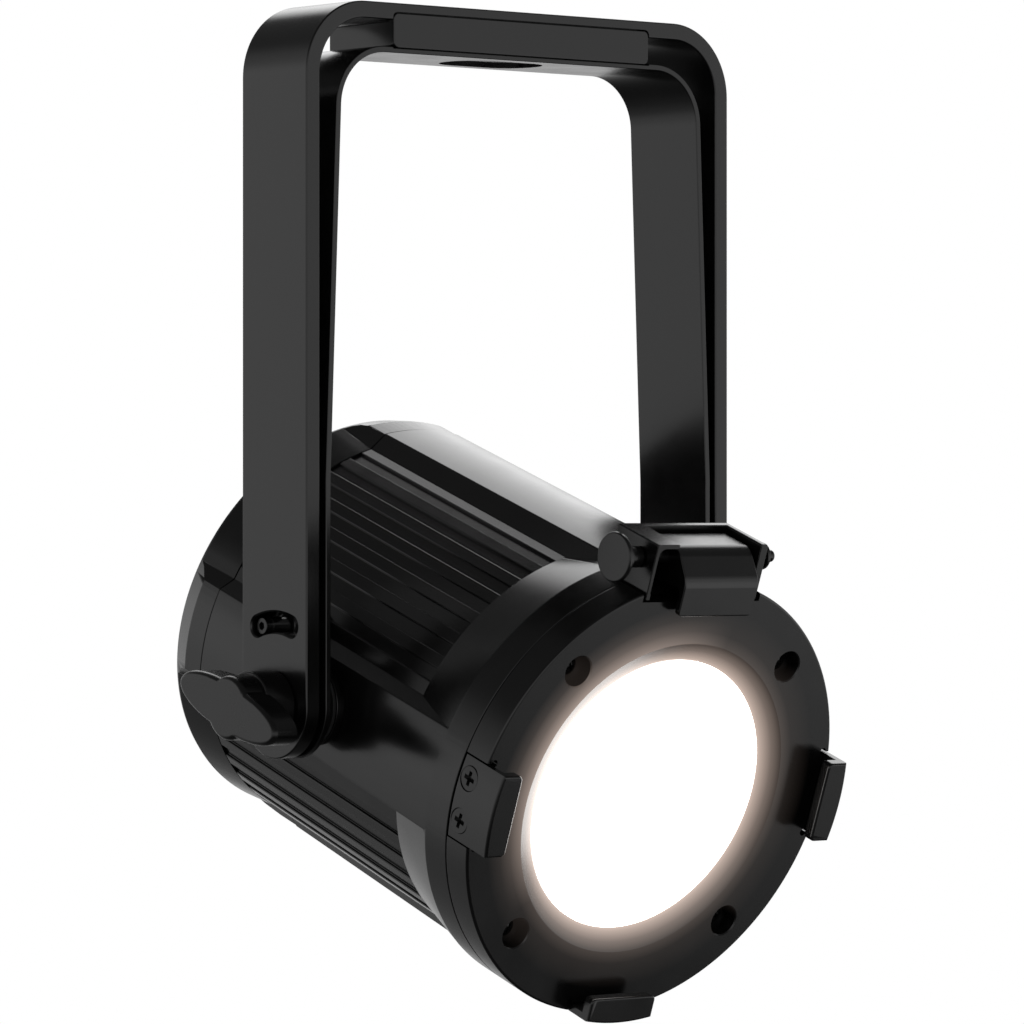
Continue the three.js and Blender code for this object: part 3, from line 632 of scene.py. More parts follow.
def make_liner():
    wide, top = LINER_HIGH.x, LINER_HIGH.z
    bottom = LINER_LOW.z - 5
    outlines = []
    for wall in (LINER_WALL, 0):
        outlines.append(strap_outline(
            wide - LINER_WALL + wall, LINER_NARROW + wall, LINER_BEND,
            top - LINER_WALL + wall, LINER_CORNER + wall, bottom, 24,
        ))
    outer, inner = outlines
    outline = bend_softened(outer + list(reversed(inner)), LINER_BEND)
    body = prism("yoke_liner_fine", outline, "beam", -HALF_DEPTH, HALF_DEPTH)
    body = bevelled(meet(body, arm_ends()), 0.35, 3, 50)
    length, width = ACCESS_HALF_LENGTH, ACCESS_HALF_WIDTH
    access = rectangle(-length, length, -width, width, width - 0.1, 14)
    block = BLOCK_HIGH.x + GAP
    body = cut(
        body, arc_slot(SLOT_HALF_WIDTH, -wide - 1, 0),
        prism("access", access, "z", top - LINER_WALL - 1, top + 1),
        prism("notch", rectangle(-block, block, top - 0.7, top + 1), "beam", 14, 18),
        rod("pivot", SLEEVE_HOLE, "x", -wide - 1, wide + 1),
    )
    finished(body, ARMS, "yoke", PAINT, "yoke_liner")


def make_clamp_block():
    low, high = BLOCK_LOW, BLOCK_HIGH
    filler_top, filler_low = TOP - STRAP - GAP, LINER_HIGH.z + GAP
    filler = prism(
        "clamp_block_fine", rectangle(low.x, high.x, filler_low, filler_top), "beam",
        -HALF_DEPTH, HALF_DEPTH - 1.2,
    )
    cover = rectangle(low.x, high.x, low.z, high.z, COVER_CORNER)
    plate = prism("plate", cover, "beam", HALF_DEPTH - 2.4, HALF_DEPTH)
    body = join(bevelled(filler, 0.4, 2), bevelled(plate, 0.45, 3, 50))
    body = cut(body, rod("bolt", BOLT_R + 1.8, "z", filler_low - 2, filler_top + 2))
    finished(body, ARMS, "yoke", PAINT, "clamp_block")


# ---- pivots and knobs ----
KNOB_HALF = 26.2
KNOB_LOBE = 7.8
KNOB_BULGE = 10.3
KNOB_BACK = 99.5
KNOB_MEETING = 6.95
KNOB_SHOULDER = 1.5
KNOB_SHOULDER_DROP = 1.7
KNOB_BORE_R = 4.3
HUB_R = 11.5
HUB_FACE = 90.3
BUSH_FLANGE_R = 9.0
BUSH_SLEEVE_R = 6.0
DISC_R = 12.8
STOP_FACE = 78.4


def knob_half_width(reach):
    """Half width of the grip at a distance along it: two long lobes with a round middle."""
    lobe = KNOB_LOBE * math.sqrt(1 - min(1.0, reach / KNOB_HALF) ** 2.32)
    bulge = math.sqrt(max(0.0, KNOB_BULGE ** 2 - reach ** 2))
    return max(lobe, bulge)


def knob_outline(steps=26):
    """Half of the outline is worked out and then turned round, because the grip is symmetric."""
    upper = [(KNOB_HALF, 0.0)]
    meeting = KNOB_MEETING
    for i in range(1, steps):
        reach = meeting + (KNOB_HALF - meeting) * math.cos(math.pi / 2 * i / steps) ** 0.7
        upper.append((reach, knob_half_width(reach)))
    start = math.degrees(math.acos(meeting / KNOB_BULGE))
    upper += arc(0, 0, KNOB_BULGE, start, 180 - start, 18)
    upper += [(-a, b) for a, b in reversed(upper[1:steps])]
    radii = [1.2 if abs(abs(a) - meeting) < 0.01 else 0 for a, _ in upper]
    outline = upper + [(-a, -b) for a, b in upper]
    return [Vector(p) for p in fillet(outline, radii + radii, steps=4)]


def inset(points, distance):
    """The outline moved inwards along its own normals."""
    out = []
    count = len(points)
    for i in range(count):
        along = (points[(i + 1) % count] - points[i - 1]).normalized()
        out.append(points[i] + Vector((-along.y, along.x)) * distance)
    return out


def make_knob(name, side):
    face = abs(KNOB_LOW.x)
    depth = [(0.5, KNOB_BACK), (0.12, KNOB_BACK + 0.25), (0.0, KNOB_BACK + 0.8)]
    for i in range(8):
        turn = math.radians(90 * i / 7)
        inwards = KNOB_SHOULDER * (1 - math.cos(turn))
        depth.append((inwards, face - KNOB_SHOULDER_DROP * (1 - math.sin(turn))))
    outline = knob_outline()
    layers = [[(side * x, p.x, p.y) for p in inset(outline, d)] for d, x in depth]
    grip = layered(f"knob_{name}_fine", layers)
    hub_profile = [(0, HUB_FACE), (HUB_R, HUB_FACE), (HUB_R, KNOB_BACK + 1.5), (0, KNOB_BACK + 1.5)]
    hub = turned("hub", fillet(hub_profile, 0.6, False), "x", 72)
    hub.data.transform(Matrix.Scale(side, 4, (1, 0, 0)))
    if side < 0:
        hub.data.flip_normals()
    hole_ends = sorted((side * (HUB_FACE - 1.3), side * (KNOB_BACK + 5.8)))
    body = cut(join(grip, hub), rod("stud_hole", KNOB_BORE_R, "x", *hole_ends))
    body.data.transform(Matrix.Rotation(math.radians(-1), 4, "X"))
    finished(body, HEAD, f"knob_{name}", PLASTIC, f"knob_{name}")


def make_pivot(name, side):
    low, high = arm_box(f"pivot_bush_{name}")
    face, tip = sorted((abs(low.x), abs(high.x)))
    collar = LINER_HIGH.x - LINER_WALL - GAP
    profile = fillet(
        [(STUD_HOLE_R, face), (BUSH_FLANGE_R, face), (BUSH_FLANGE_R, collar), (BUSH_SLEEVE_R, collar),
         (BUSH_SLEEVE_R, tip), (STUD_HOLE_R, tip)], 0.3, steps=3,
    )
    bush = turned(f"pivot_bush_{name}_fine", [(r, side * t) for r, t in profile], "x", 64)
    finished(bush, ARMS, "yoke", PLASTIC, f"pivot_bush_{name}")
    low, high = head_box(f"friction_disc_{name}")
    disc = tube(f"friction_disc_{name}_fine", STUD_HOLE_R, DISC_R, "x", low.x, high.x, 0.35, 72)
    finished(disc, HEAD, "head", RUBBER, f"friction_disc_{name}")
    low, high = head_box(f"knob_stud_{name}")
    stud = rod(f"knob_stud_{name}_fine", 4, "x", low.x, high.x, 0.6)
    finished(stud, HEAD, f"knob_{name}", BRIGHT_STEEL, f"knob_stud_{name}")


def stop_place():
    return polar(SLOT_RADIUS, 90 - SLOT_HALF_ANGLE - math.degrees(TILT))


def make_stop_pin():
    y, z = stop_place()
    low, high = head_box("stop_pin")
    head_r, collar_r, shank_r = 2.75, 2.9, 1.5
    step = low.x + 2.8
    profile = [
        (0, low.x), (head_r, low.x), (head_r, step), (collar_r, step), (collar_r, -STOP_FACE),
        (shank_r, -STOP_FACE), (shank_r, high.x), (0, high.x),
    ]
    body = turned("stop_pin_fine", fillet(profile, 0.3, False, 3), "x", 48)
    key = [polar(1.45, 60 * i) for i in range(6)]
    body = cut(body, prism("key", key, "x", low.x - 1, low.x + 1.8))
    finished_steel(moved(body, 0, y, z), "head", "stop_pin")


# ---- head ----
def section(ridge_r, band_r, side_half, finned):
    """One cross-section: four bands, and the fins or plain arcs between them."""
    points, radii = [], []
    for quarter in range(4):
        middle = 90 * quarter
        half, foot = (side_half, SIDE_FOOT) if quarter % 2 == 0 else (TOP_EDGE, TOP_FOOT)
        points.append(polar(ridge_r, middle - foot))
        radii.append(0.5)
        points += arc(0, 0, band_r, middle - half, middle + half, 18)
        radii += [0.9] + [0] * 17 + [0.9]
        points.append(polar(ridge_r, middle + foot))
        radii.append(0.5)
        if not finned:
            points += arc(0, 0, ridge_r, middle + BAND_END, middle + 90 - BAND_END, 40)[1:-1]
            radii += [0] * 39
            continue
        edge = FIN_PITCH / 4
        for groove in range(-3, 4):
            centre = middle + 45 + groove * FIN_PITCH
            for r, a, soft in ((ridge_r, -edge, 0.4), (ridge_r - FIN_DEPTH, -edge, 0.2),
                               (ridge_r - FIN_DEPTH, edge, 0.2), (ridge_r, edge, 0.4)):
                points.append(polar(r, centre + a))
                radii.append(soft)
    return fillet(points, radii, steps=3)


def taper(s, rear, front):
    """The value at s on the straight line through two (place, value) pairs."""
    return rear[1] + (front[1] - rear[1]) * (s - rear[0]) / (front[0] - rear[0])


def ridge_radius(s):
    return taper(s, (-63, 68.0), (FIN_FRONT, 68.9))


def band_radius(s):
    return min(taper(s, (-70, 71.95), (RAMP_FRONT, 73.9)), RING_R - 0.004)


def side_half_angle(s):
    return taper(s, (-81.5, 12.6), (RAMP_FRONT, 13.4))


def loft(name, stations):
    layers = []
    for s, *shape in stations:
        layers.append([(x, -s, z) for x, z in section(*shape)])
    return layered(name, layers)


def diagonal(obj_for, radius):
    """Four of the same cutter, on the diagonals at this distance from the beam's axis."""
    out = []
    for a in DIAGONALS:
        x, z = polar(radius, a)
        out.append(moved(obj_for(), x, 0, z))
    return out


def counterbore(r, floor, face, flare, steps=48):
    """A round cutter from the floor out to the face, where it flares a little."""
    out = math.copysign(1, face - floor)
    end = face + out * 0.01
    profile = [(0, floor), (r, floor), (r, face - out * flare), (r + flare + 0.01, end), (0, end)]
    return turned("bore", profile, "beam", steps)


def latch_screw_holes():
    holes = []
    for u in LATCH_SCREW_PLACES:
        holes.append(moved(rod("hole", SCREW_HOLE_R, "z", 60, PAST_RING), u, -LATCH_SCREW_S, 0))
    return holes


def make_housing():
    rear = HOUSING_REAR
    body = loft("main_housing_fine", [
        (s, ridge_radius(s) - drop, band_radius(s) - drop, side_half_angle(s), True)
        for s, drop in ((rear, 0.3), (rear + 0.3, 0.0), (63.0, 0.0), (FLANGE_FRONT - 1, 0.0))
    ])
    flange = [
        (0, FIN_FRONT), (RAMP_FOOT_R, FIN_FRONT), (RING_R, RAMP_FRONT), (RING_R, FLANGE_FRONT),
        (0, FLANGE_FRONT),
    ]
    flange = fillet(flange, [0, 0.3, 3.0, 0.35, 0], closed=False, steps=6)
    front = FLANGE_FRONT + 1
    hollow = [
        (0, rear - 1), (BORE_R, rear - 1), (BORE_R, BORE_FRONT), (THROAT_R, BORE_FRONT),
        (THROAT_R, front), (0, front),
    ]
    bosses = []
    for _, side in SIDES:
        bosses.append(rod("boss", DISC_R, "x", *sorted((side * BOSS_ROOT, side * BOSS_FACE)), 0.3, 72))
    y, z = stop_place()
    post = moved(rod("post", STOP_POST_R, "x", 0.2 - STOP_FACE, -64, 0.4), 0, y, z)
    pocket = rectangle(-POCKET_HALF, POCKET_HALF, POCKET_FLOOR, PAST_RING, 0.8)
    body = join(body, turned("flange", flange, "beam", 192), *bosses, post)
    body = cut(
        body, turned("hollow", hollow, "beam", 128),
        prism("pocket", pocket, "beam", BRACKET_REAR_ROOM, front),
        *diagonal(lambda: rod("hole", SCREW_HOLE_R, "beam", 62, front), RING_SCREW_R),
        *diagonal(lambda: rod("hole", SCREW_HOLE_R, "beam", rear - 1, -50), REAR_SCREW_R),
        rod("stud", STUD_HOLE_R, "x", -76, -50), rod("stud", STUD_HOLE_R, "x", 50, 76),
        moved(rod("stop", SCREW_HOLE_R, "x", -79, -69), 0, y, z),
        *latch_screw_holes(),
    )
    finished(body, HEAD, "head", PAINT, "main_housing")


def make_rear_cap():
    body = loft("rear_cap_fine", [
        (s, r, CAP_BAND_R, side_half_angle(s), False) for s, r in ((CAP_REAR, 69.9), (CAP_FRONT, 68.0))
    ])
    envelope = [
        (0, CAP_REAR), (RIM_R, CAP_REAR), (CAP_BAND_R, CAP_CHAMFER), (CAP_BAND_R, CAP_FRONT),
        (0, CAP_FRONT),
    ]
    envelope = fillet(envelope, [0, 0.8, 2.0, 0.3, 0], closed=False, steps=5)
    front, ledge, panel_r = CAP_FRONT + 1, -PANEL_LOW.y + GAP, PANEL_HIGH.x + GAP
    hollow = [
        (0, front), (BORE_R, front), (BORE_R, BORE_REAR), (THROAT_R, BORE_REAR),
        (THROAT_R, ledge), (panel_r, ledge), (panel_r, CAP_REAR + 0.3),
        (panel_r + 0.31, CAP_REAR - 0.01), (0, CAP_REAR - 0.01),
    ]
    body = meet(body, turned("envelope", envelope, "beam", 192))
    body = cut(
        body, turned("hollow", hollow, "beam", 128),
        *diagonal(lambda: rod("hole", SCREW_HOLE_R, "beam", CAP_REAR - 1, front), REAR_SCREW_R),
        *diagonal(lambda: counterbore(REAR_COUNTERBORE_R, GAP - SCREW_SEAT, CAP_REAR, 0.3), REAR_SCREW_R),
    )
    finished(body, HEAD, "head", PAINT, "rear_cap")


CLIP_PLACES = (("bottom", 0), ("left", 90), ("right", -90))
CLIP_SCREW = 7.05
CLIP_SCREW_S = 79.75
CLIP_SCREW_HEAD_R = 4.02
CLIP_SEAT_R, CLIP_HOLE_R = 4.15, 1.9
CLIP_FLOOR = 70.2
CLIP_LIP = 64.8
CLIP_FACE_BACK = 90.75


def make_ring():
    opening, seat = LENS_R + GAP, LENS_SEAT + GAP
    profile = [
        (opening, LENS_FACE - 0.4), (LENS_MOUTH, RING_FRONT), (RING_R, RING_FRONT),
        (RING_R, RING_REAR), (seat, RING_REAR), (seat, LENS_FACE - 0.5), (opening, LENS_FACE - 0.5),
    ]
    profile = fillet(profile, [0, 0.5, 0.8, 0.35, 0, 0, 0], steps=5)
    body = turned("front_ring_fine", profile, "beam", 192)
    half = CLIP_HIGH.x + 0.6
    rear, front = RING_REAR - 1, RING_FRONT + 1
    clip_pocket = rectangle(-half, half, -PAST_RING, GAP - CLIP_FLOOR)
    latch_pocket = rectangle(-POCKET_HALF, POCKET_HALF, POCKET_FLOOR, PAST_RING)
    cutters = [prism("pocket", latch_pocket, "beam", rear, front)]
    for _, turn in CLIP_PLACES:
        cutters.append(spun_round_beam(prism("pocket", clip_pocket, "beam", rear, front), turn))
        for way in (-1, 1):
            relief = moved(rod("relief", 1.2, "beam", rear, front), way * half, 0, 0.5 - CLIP_FLOOR)
            thread = moved(rod("thread", SCREW_HOLE_R, "z", -75, -64), way * CLIP_SCREW, -CLIP_SCREW_S, 0)
            cutters += [spun_round_beam(relief, turn), spun_round_beam(thread, turn)]
    cutters += diagonal(
        lambda: counterbore(RING_COUNTERBORE_R, SCREW_SEAT - GAP, RING_FRONT, 0.35, 64), RING_SCREW_R,
    )
    cutters += diagonal(lambda: rod("hole", SCREW_HOLE_R, "beam", rear, SCREW_SEAT + GAP), RING_SCREW_R)
    # The ring wears black paint with painted glow from the lens on it.
    finished(cut(body, *cutters), HEAD, "head", RING_PAINT_AND_PAINTED_GLOW, "front_ring")


def cross_recess(size, depth, top):
    """A tapering cross, as a screwdriver leaves it, standing on `top` and pointing down the beam."""
    arms = []
    for a, b in ((size, 0.3 * size), (0.3 * size, size)):
        rings = [[(x * k, -s, z * k) for x, z in rectangle(-a, a, -b, b)]
                 for s, k in ((top - depth, 0.55), (top + 0.3, 1.05))]
        arms.append(layered("cross", rings))
    return join(*arms)


def pan_screw(name, r, height, shank, length):
    dome = arc(0, height - 1.25 * r, 1.25 * r, 90, 90 - math.degrees(math.asin(0.93 / 1.25)), 8)
    profile = [(0, -length), (shank, -length), (shank, 0), (r, 0), (r, height * 0.35)]
    profile += [(x, t) for x, t in reversed(dome)][1:]
    profile[-1] = (0, profile[-1][1])
    return cut(turned(name, profile, "beam", 48), cross_recess(r * 0.55, 1.3, height - 0.1))


def make_screws():
    # Each cross stands at an angle of its own.
    for i, a in enumerate(DIAGONALS):
        node = f"ring_screw_{i + 1}"
        x, z = polar(RING_SCREW_R, a)
        screw = spun_round_beam(pan_screw(node + "_fine", 3, 2.1, 1.5, 13), 20 + 47 * i)
        finished_steel(moved(screw, x, -SCREW_SEAT, z), "head", node)
        node = f"rear_screw_{i + 1}"
        x, z = polar(REAR_SCREW_R, a)
        screw = spun_round_beam(pan_screw(node + "_fine", 2.8, 2.0, 1.5, 22), 31 * i)
        screw.data.transform(Matrix.Rotation(math.pi, 4, "Z"))
        finished_steel(moved(screw, x, SCREW_SEAT, z), "head", node)
    profile = [(0, -5.5), (1.5, -5.5), (1.5, 0), (2.6, 0), (2.6, 1.2), (0, 1.2)]
    profile = fillet(profile, [0, 0.3, 0, 0, 0.5, 0], False, 3)
    for i, u in enumerate(LATCH_SCREW_PLACES):
        node = f"latch_screw_{i + 1}"
        screw = moved(turned(node + "_fine", profile, "z", 40), u, -LATCH_SCREW_S, BRACKET_FLOOR + GAP)
        finished_steel(screw, "head", node)


def make_clips():
    half = CLIP_HIGH.x
    rear, front = -CLIP_HIGH.y, -CLIP_LOW.y
    skin = RING_R - 0.02
    limit = fillet([(0, rear), (skin, rear), (skin, front), (0, front)], [0, 0.3, 0.9, 0], False, 4)
    seat = [
        (0, -PAST_RING), (CLIP_SEAT_R, -PAST_RING), (CLIP_SEAT_R, 1.5 - RING_R),
        (CLIP_HOLE_R, 3.9 - RING_R), (CLIP_HOLE_R, -60), (0, -60),
    ]
    for name, turn in CLIP_PLACES:
        node = f"clip_{name}"
        outline = rectangle(-half, half, -PAST_RING, -CLIP_FLOOR)
        plate = bevelled(prism(node + "_fine", outline, "beam", rear, front - 1), 0.35, 2, 60)
        outline = rectangle(-half, half, -PAST_RING, -CLIP_LIP, 1.8)
        face = bevelled(prism("face", outline, "beam", CLIP_FACE_BACK, front), 0.7, 4, 50)
        body = meet(join(plate, face), turned("limit", limit, "beam", 256))
        for way in (-1, 1):
            hole = moved(turned("seat", seat, "z", 48), way * CLIP_SCREW, -CLIP_SCREW_S, 0)
            body = cut(body, hole)
        finished(spun_round_beam(body, turn), HEAD, "head", PAINT, node)
        for i, way in enumerate((-1, 1)):
            make_clip_screw(name, turn, i, way)


def make_clip_screw(name, turn, index, way):
    top = -RING_R + 0.45
    profile = [
        (0, top), (CLIP_SCREW_HEAD_R, top), (CLIP_SCREW_HEAD_R, top + 0.3), (1.6, top + 2.3),
        (1.6, -65), (0, -65),
    ]
    node = f"clip_screw_{name}_{index + 1}"
    screw = turned(node + "_fine", fillet(profile, [0, 0.2, 0.1, 0, 0.3, 0], False, 3), "z", 48)
    cross = cross_recess(2.5, 1.4, 0)
    cross.data.transform(
        Matrix.Translation((0, 0, top)) @ Matrix.Rotation(math.radians(4), 4, "Z")
        @ Matrix.Rotation(math.radians(90), 4, "X")
    )
    screw = moved(cut(screw, cross), way * CLIP_SCREW, -CLIP_SCREW_S, 0)
    finished_steel(spun_round_beam(screw, turn), "head", node)


def make_lens():
    back, seat = -LENS_HIGH.y, LENS_FACE - 0.8
    profile = [
        (0, back), (LENS_SEAT, back), (LENS_SEAT, seat), (LENS_R, seat), (LENS_R, LENS_FACE),
        (0, LENS_FACE),
    ]
    lens = turned("lens_fine", fillet(profile, [0, 0.3, 0.3, 0, 0.4, 0], False, 4), "beam", 160)
    finished(lens, HEAD, "head", LENS_GLOW, "lens")


# ---- latch ----
LATCH_S = 77.5
LATCH_W = 79.3
PIN_R = 2.0
PIN_HOLE_R = 2.3
FLAP_LUG_R = 8.2
BRACKET_FLOOR = 69.0
BRACKET_FLOOR_FRONT = 79.0
BRACKET_LEFT_WALL = 1.7
BRACKET_RIGHT_WALL = 3.1
BRACKET_BACK_WALL = 2.4


def on_latch_pin(obj):
    return moved(obj, 0, -LATCH_S, LATCH_W)


def make_bracket():
    low, high = BRACKET_LOW, BRACKET_HIGH
    rear, front = -high.y, -low.y
    left, right, top = low.x, high.x, high.z
    inner_left, inner_right = left + BRACKET_LEFT_WALL, right - BRACKET_RIGHT_WALL
    flange_edge, flange_low = left + 9.3, top - BRACKET_LEFT_WALL

    def plate(name, outline, a, b, soft=0.35):
        return bevelled(prism(name, outline, "beam", a, b), soft, 3, 50)

    # One bent wall: floor, left side with its inward flange, and the right side.
    u_shape = [
        (left, low.z), (right, low.z), (right, top), (inner_right, top), (inner_right, BRACKET_FLOOR),
        (inner_left, BRACKET_FLOOR), (inner_left, flange_low), (flange_edge, flange_low),
        (flange_edge, top), (left, top),
    ]
    u_shape = fillet(u_shape, [0.6, 0.6, 1.2, 0.8, 0.6, 1.0, 2.2, 0.4, 0.4, 0.6], steps=6)
    body = plate("latch_bracket_fine", u_shape, rear, front)
    open_floor = rectangle(inner_left, inner_right, low.z - 1, BRACKET_FLOOR + 1.1)
    body = cut(body, prism("open_floor", open_floor, "beam", BRACKET_FLOOR_FRONT, front + 1))
    back = rectangle(left + 0.4, right - 0.4, low.z + 0.3, top, 1.6)
    body = join(body, plate("back", back, rear, rear + BRACKET_BACK_WALL))
    hole = on_latch_pin(rod("pin", PIN_HOLE_R, "x", left - 2, right + 2))
    body = cut(body, hole, *latch_screw_holes())
    finished(body, HEAD, "head", PAINT, "latch_bracket")


def make_flap():
    low, high = FLAP_LOW, FLAP_HIGH
    lug = arc(-LATCH_S, LATCH_W, FLAP_LUG_R, 0, -99, 14)
    outline = [(-69.3, high.z)] + lug + [
        (-86.6, 72.2), (-87.7, 70.4), (-87.7, low.z), (low.y, low.z), (low.y, 75.2), (-82.6, high.z),
    ]
    radii = [0.6] + [0] * len(lug) + [0.8, 0.8, 0.3, 0.6, 6.0, 6.5]
    outline = fillet(outline, radii, steps=10)
    body = bevelled(prism("latch_flap_fine", outline, "x", low.x, high.x), 0.4, 3, 60)
    corners = prism("corners", rectangle(low.x, high.x, low.z, 92, 2.2), "beam", 60, 95)
    bore = on_latch_pin(rod("bore", PIN_R + 0.06, "x", -40, 40))
    body = cut(meet(body, corners), bore)
    finished(body, HEAD, "latch_flap", PAINT, "latch_flap")


def make_pin():
    left, right = PIN_LOW.x, PIN_HIGH.x
    head_r, neck_r, collar_r = 7.9, 5.2, 3.4
    head_end, neck_end, collar_end = left + 1.6, -29.4, -23.8
    profile = [
        (0, left), (head_r, left), (head_r, head_end), (neck_r, head_end), (neck_r, neck_end),
        (collar_r, neck_end), (collar_r, collar_end), (PIN_R, collar_end), (PIN_R, right), (0, right),
    ]
    radii = [0, 0.6, 0.5, 0.2, 0.3, 0.2, 0.3, 0, 1.0, 0]
    pin = turned("latch_pin_fine", fillet(profile, radii, False, 5), "x", 72)
    finished_steel(on_latch_pin(pin), "latch_pin", "latch_pin")
    for node, soft, steps in (("latch_washer", 0.2, 56), ("latch_sleeve", 0.25, 48)):
        low, high = head_box(node)
        rim = tube(node + "_fine", PIN_HOLE_R, high.z - LATCH_W, "x", low.x, high.x, soft, steps)
        finished_steel(on_latch_pin(rim), "latch_pin", node)


# ---- rear ----
# Each socket's name, its place across and above the beam's axis, and its number of contacts.
SOCKETS = (
    ("power_in", -17, 0, 3), ("power_out", 17, 0, 3), ("data_in", -17, -29, 5), ("data_out", 17, -29, 5),
)
BARREL_R = 11.5
BUTTON_R = 4.0
BUTTON_W = 19.0
BUTTON_PITCH = 13.0
BUTTON_PLACES = [(i - 1.5) * BUTTON_PITCH for i in range(4)]


def make_panel():
    low, high = PANEL_LOW, PANEL_HIGH
    outer, inner = -high.y, -low.y
    body = rod("rear_panel_fine", high.x, "beam", outer, inner, 0.35, 160)
    for _, u, w, _ in SOCKETS:
        hole = rod("hole", BARREL_R + GAP, "beam", outer - 1, inner + 1, 0, 64)
        body = cut(body, moved(hole, u, 0, w))
    for u in BUTTON_PLACES:
        hole = counterbore(BUTTON_R + GAP, inner + 1, outer, 0.3)
        body = cut(body, moved(hole, u, 0, BUTTON_W))
    low, high = head_box("display_window")
    window = rectangle(low.x - GAP, high.x + GAP, low.z - GAP, high.z + GAP, 1.5)
    body = cut(body, prism("window", window, "beam", outer - 1, inner + 1))
    finished(body, HEAD, "head", PLASTIC, "rear_panel")
    outline = rectangle(low.x, high.x, low.z, high.z, 1.2)
    pane = bevelled(prism("display_window_fine", outline, "beam", -high.y, -low.y), 0.25, 3, 60)
    finished(pane, HEAD, "head", DISPLAY_GLASS, "display_window")


def make_buttons():
    flange_r, flange_rear, flange_front, stem_r = 5.2, -79.4, -78.2, 2
    for i, u in enumerate(BUTTON_PLACES):
        node = f"button_{i + 1}"
        low, high = head_box(node)
        tip, tail = -high.y, -low.y
        profile = [
            (0, tip), (BUTTON_R, tip), (BUTTON_R, flange_rear), (flange_r, flange_rear),
            (flange_r, flange_front), (stem_r, flange_front), (stem_r, tail), (0, tail),
        ]
        profile = fillet(profile, [0, 0.8, 0, 0.2, 0.2, 0, 0.2, 0], False, 5)
        button = moved(turned(node + "_fine", profile, "beam", 56), u, 0, BUTTON_W)
        finished(button, HEAD, node, RUBBER, node)


def make_sockets():
    mouth_r, mouth_depth, contact_circle = 9.2, 12, 7.2
    for name, u, w, pins in SOCKETS:
        low, high = head_box(name)
        face, tail = -high.y, -low.y
        floor = face + mouth_depth
        outline = rectangle(-15.5, 15.5, -13, 13, 3, 8)
        plate = bevelled(prism(name + "_fine", outline, "beam", face, face + 1.8), 0.3, 3, 50)
        barrel = rod("barrel", BARREL_R, "beam", face + 1.7, tail, 0.4, 64)
        mouth = [
            (0, face - 0.01), (mouth_r + 0.5, face - 0.01), (mouth_r, face + 0.5), (mouth_r, floor),
            (0, floor),
        ]
        body = cut(join(plate, barrel), turned("mouth", mouth, "beam", 64))
        for i in range(pins):
            x, z = polar(contact_circle, 90 + 360 * i / pins)
            contact = rod("contact", 0.9, "beam", face + 1.3, floor + 0.1, 0.3, 24)
            body = join(body, moved(contact, x, 0, z))
        finished(moved(body, u, 0, w), HEAD, "head", PLASTIC, name)


DISPLAY_GLASS = glass_material()
BOARD = board_material()
CARRIED = {
    "clamp_bolt_bush": BRIGHT_STEEL,
    "lens_gasket": RUBBER,
    "heat_sink": ALUMINIUM,
    "led_board": ALUMINIUM,
    "reflector": BRIGHT_STEEL,
    "driver_board": BOARD,
    "control_board": BOARD,
}


def dress_carried():
    """Inner CAD nodes keep their shape and get a fitting material."""
    for node, material in CARRIED.items():
        mesh = frame["nodes"][node].data
        mesh.materials.clear()
        mesh.materials.append(material)


# ---- stage ----
# The photo's camera: focal length and sensor in millimetres, place in metres, turn in degrees.
CAMERA_LENS = 198.93
CAMERA_SENSOR = 36
CAMERA_PLACE = (-1.1938, -1.4265, -0.1632)
CAMERA_TURN = -40.14
# How bright the surroundings are at some elevations, in degrees above eye level, and at the poles.
BAND_LEVELS = [
    (-42, 0.05), (-33, 0.12), (-22, 0.26), (-11, 0.62), (0, 0.82), (7, 0.88), (20, 0.45), (32, 0.13),
]
LEVEL_BELOW = 0.06
LEVEL_ABOVE = 0.1
# Azimuth, elevation, inner and outer angle, brightness.
SOFT_BOXES = [
    (43, 34, 14, 28, 2.2),
    (-40, -13, 12, 21, 1.15),
]


def make_floor():
    floor_drop, floor_r = 2.0, 16.0
    floor = rod("floor", floor_r, "z", -0.02, 0, 0, 96)
    floor.location.z = -floor_drop
    material, tree, shader = node_material("pale_floor")
    tree.links.new(ramp(tree, noise(tree, 3), grey(0.86), grey(0.9)), shader.inputs["Base Color"])
    shader.inputs["Roughness"].default_value = 0.9
    shader.inputs["Emission Color"].default_value = (1, 1, 1, 1)
    shader.inputs["Emission Strength"].default_value = 0.62
    floor.data.materials.append(material)
    floor.visible_glossy = False
    floor.visible_diffuse = False


def soft_box(tree, direction, azimuth, elevation, inner, outer, strength):
    """Light from a round patch of the surroundings, full inside one angle and gone at the other."""
    level = math.cos(math.radians(elevation))
    x, y = polar(level, azimuth)
    facing = vector_math(tree, "DOT_PRODUCT")
    facing.inputs[1].default_value = (x, y, math.sin(math.radians(elevation)))
    tree.links.new(direction, facing.inputs[0])
    edge = tree.nodes.new("ShaderNodeMapRange")
    edge.interpolation_type = "SMOOTHSTEP"
    edge.inputs["From Min"].default_value = math.cos(math.radians(outer))
    edge.inputs["From Max"].default_value = math.cos(math.radians(inner))
    edge.inputs["To Max"].default_value = strength
    tree.links.new(facing.outputs["Value"], edge.inputs["Value"])
    return edge.outputs["Result"]


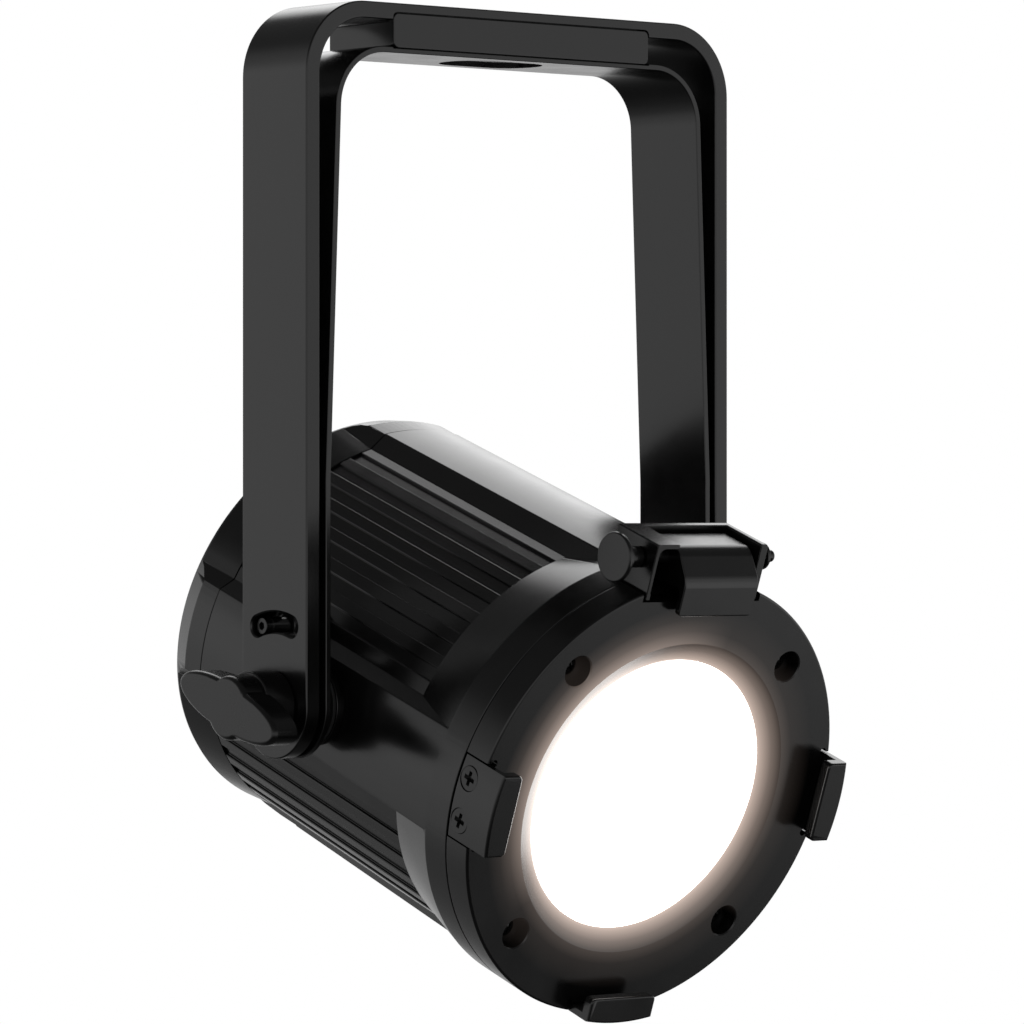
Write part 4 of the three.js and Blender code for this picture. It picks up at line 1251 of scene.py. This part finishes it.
def make_world():
    """White to look at. It lights the object with a bright band at eye level and two soft boxes."""
    world = bpy.data.worlds.new("studio")
    world.use_nodes = True
    tree = world.node_tree
    coordinates = tree.nodes.new("ShaderNodeTexCoord")
    direction = coordinates.outputs["Generated"]
    parts = tree.nodes.new("ShaderNodeSeparateXYZ")
    tree.links.new(direction, parts.inputs[0])
    band = tree.nodes.new("ShaderNodeValToRGB")
    stops = band.color_ramp
    stops.interpolation = "EASE"
    stops.elements[0].position = 0.0
    stops.elements[0].color = grey(LEVEL_BELOW)
    stops.elements[1].position = 1.0
    stops.elements[1].color = grey(LEVEL_ABOVE)
    for elevation, level in BAND_LEVELS:
        stop = stops.elements.new((1 + math.sin(math.radians(elevation))) / 2)
        stop.color = grey(level)
    tree.links.new(remap(tree, parts.outputs["Z"], 0, 1, -1, 1), band.inputs["Fac"])
    light = band.outputs["Color"]
    for box in SOFT_BOXES:
        light = combined(tree, "MAXIMUM", light, soft_box(tree, direction, *box))
    lighting = tree.nodes["Background"]
    tree.links.new(light, lighting.inputs["Strength"])
    lighting.inputs["Color"].default_value = (1, 1, 1, 1)
    seen = tree.nodes.new("ShaderNodeBackground")
    seen.inputs["Color"].default_value = (1, 1, 1, 1)
    ray = tree.nodes.new("ShaderNodeLightPath")
    mix = tree.nodes.new("ShaderNodeMixShader")
    tree.links.new(ray.outputs["Is Camera Ray"], mix.inputs["Fac"])
    tree.links.new(lighting.outputs[0], mix.inputs[1])
    tree.links.new(seen.outputs[0], mix.inputs[2])
    tree.links.new(mix.outputs[0], tree.nodes["World Output"].inputs["Surface"])
    bpy.context.scene.world = world


def make_camera():
    """Level with the middle of the object, 40 degrees to its left, about 1.9 m away."""
    data = bpy.data.cameras.new("camera")
    data.lens = CAMERA_LENS
    data.sensor_width = CAMERA_SENSOR
    camera = bpy.data.objects.new("camera", data)
    bpy.context.scene.collection.objects.link(camera)
    camera.location = CAMERA_PLACE
    camera.rotation_euler = (math.radians(90), 0, math.radians(CAMERA_TURN))
    bpy.context.scene.camera = camera


make_camera()
make_world()
make_floor()
make_yoke()
make_liner()
make_clamp_block()
for side_name, side_sign in SIDES:
    make_pivot(side_name, side_sign)
    make_knob(side_name, side_sign)
make_stop_pin()
make_housing()
make_rear_cap()
make_ring()
make_screws()
make_clips()
make_lens()
make_bracket()
make_flap()
make_pin()
make_panel()
make_buttons()
make_sockets()
dress_carried()
bpy.context.scene.view_settings.view_transform = "Standard"
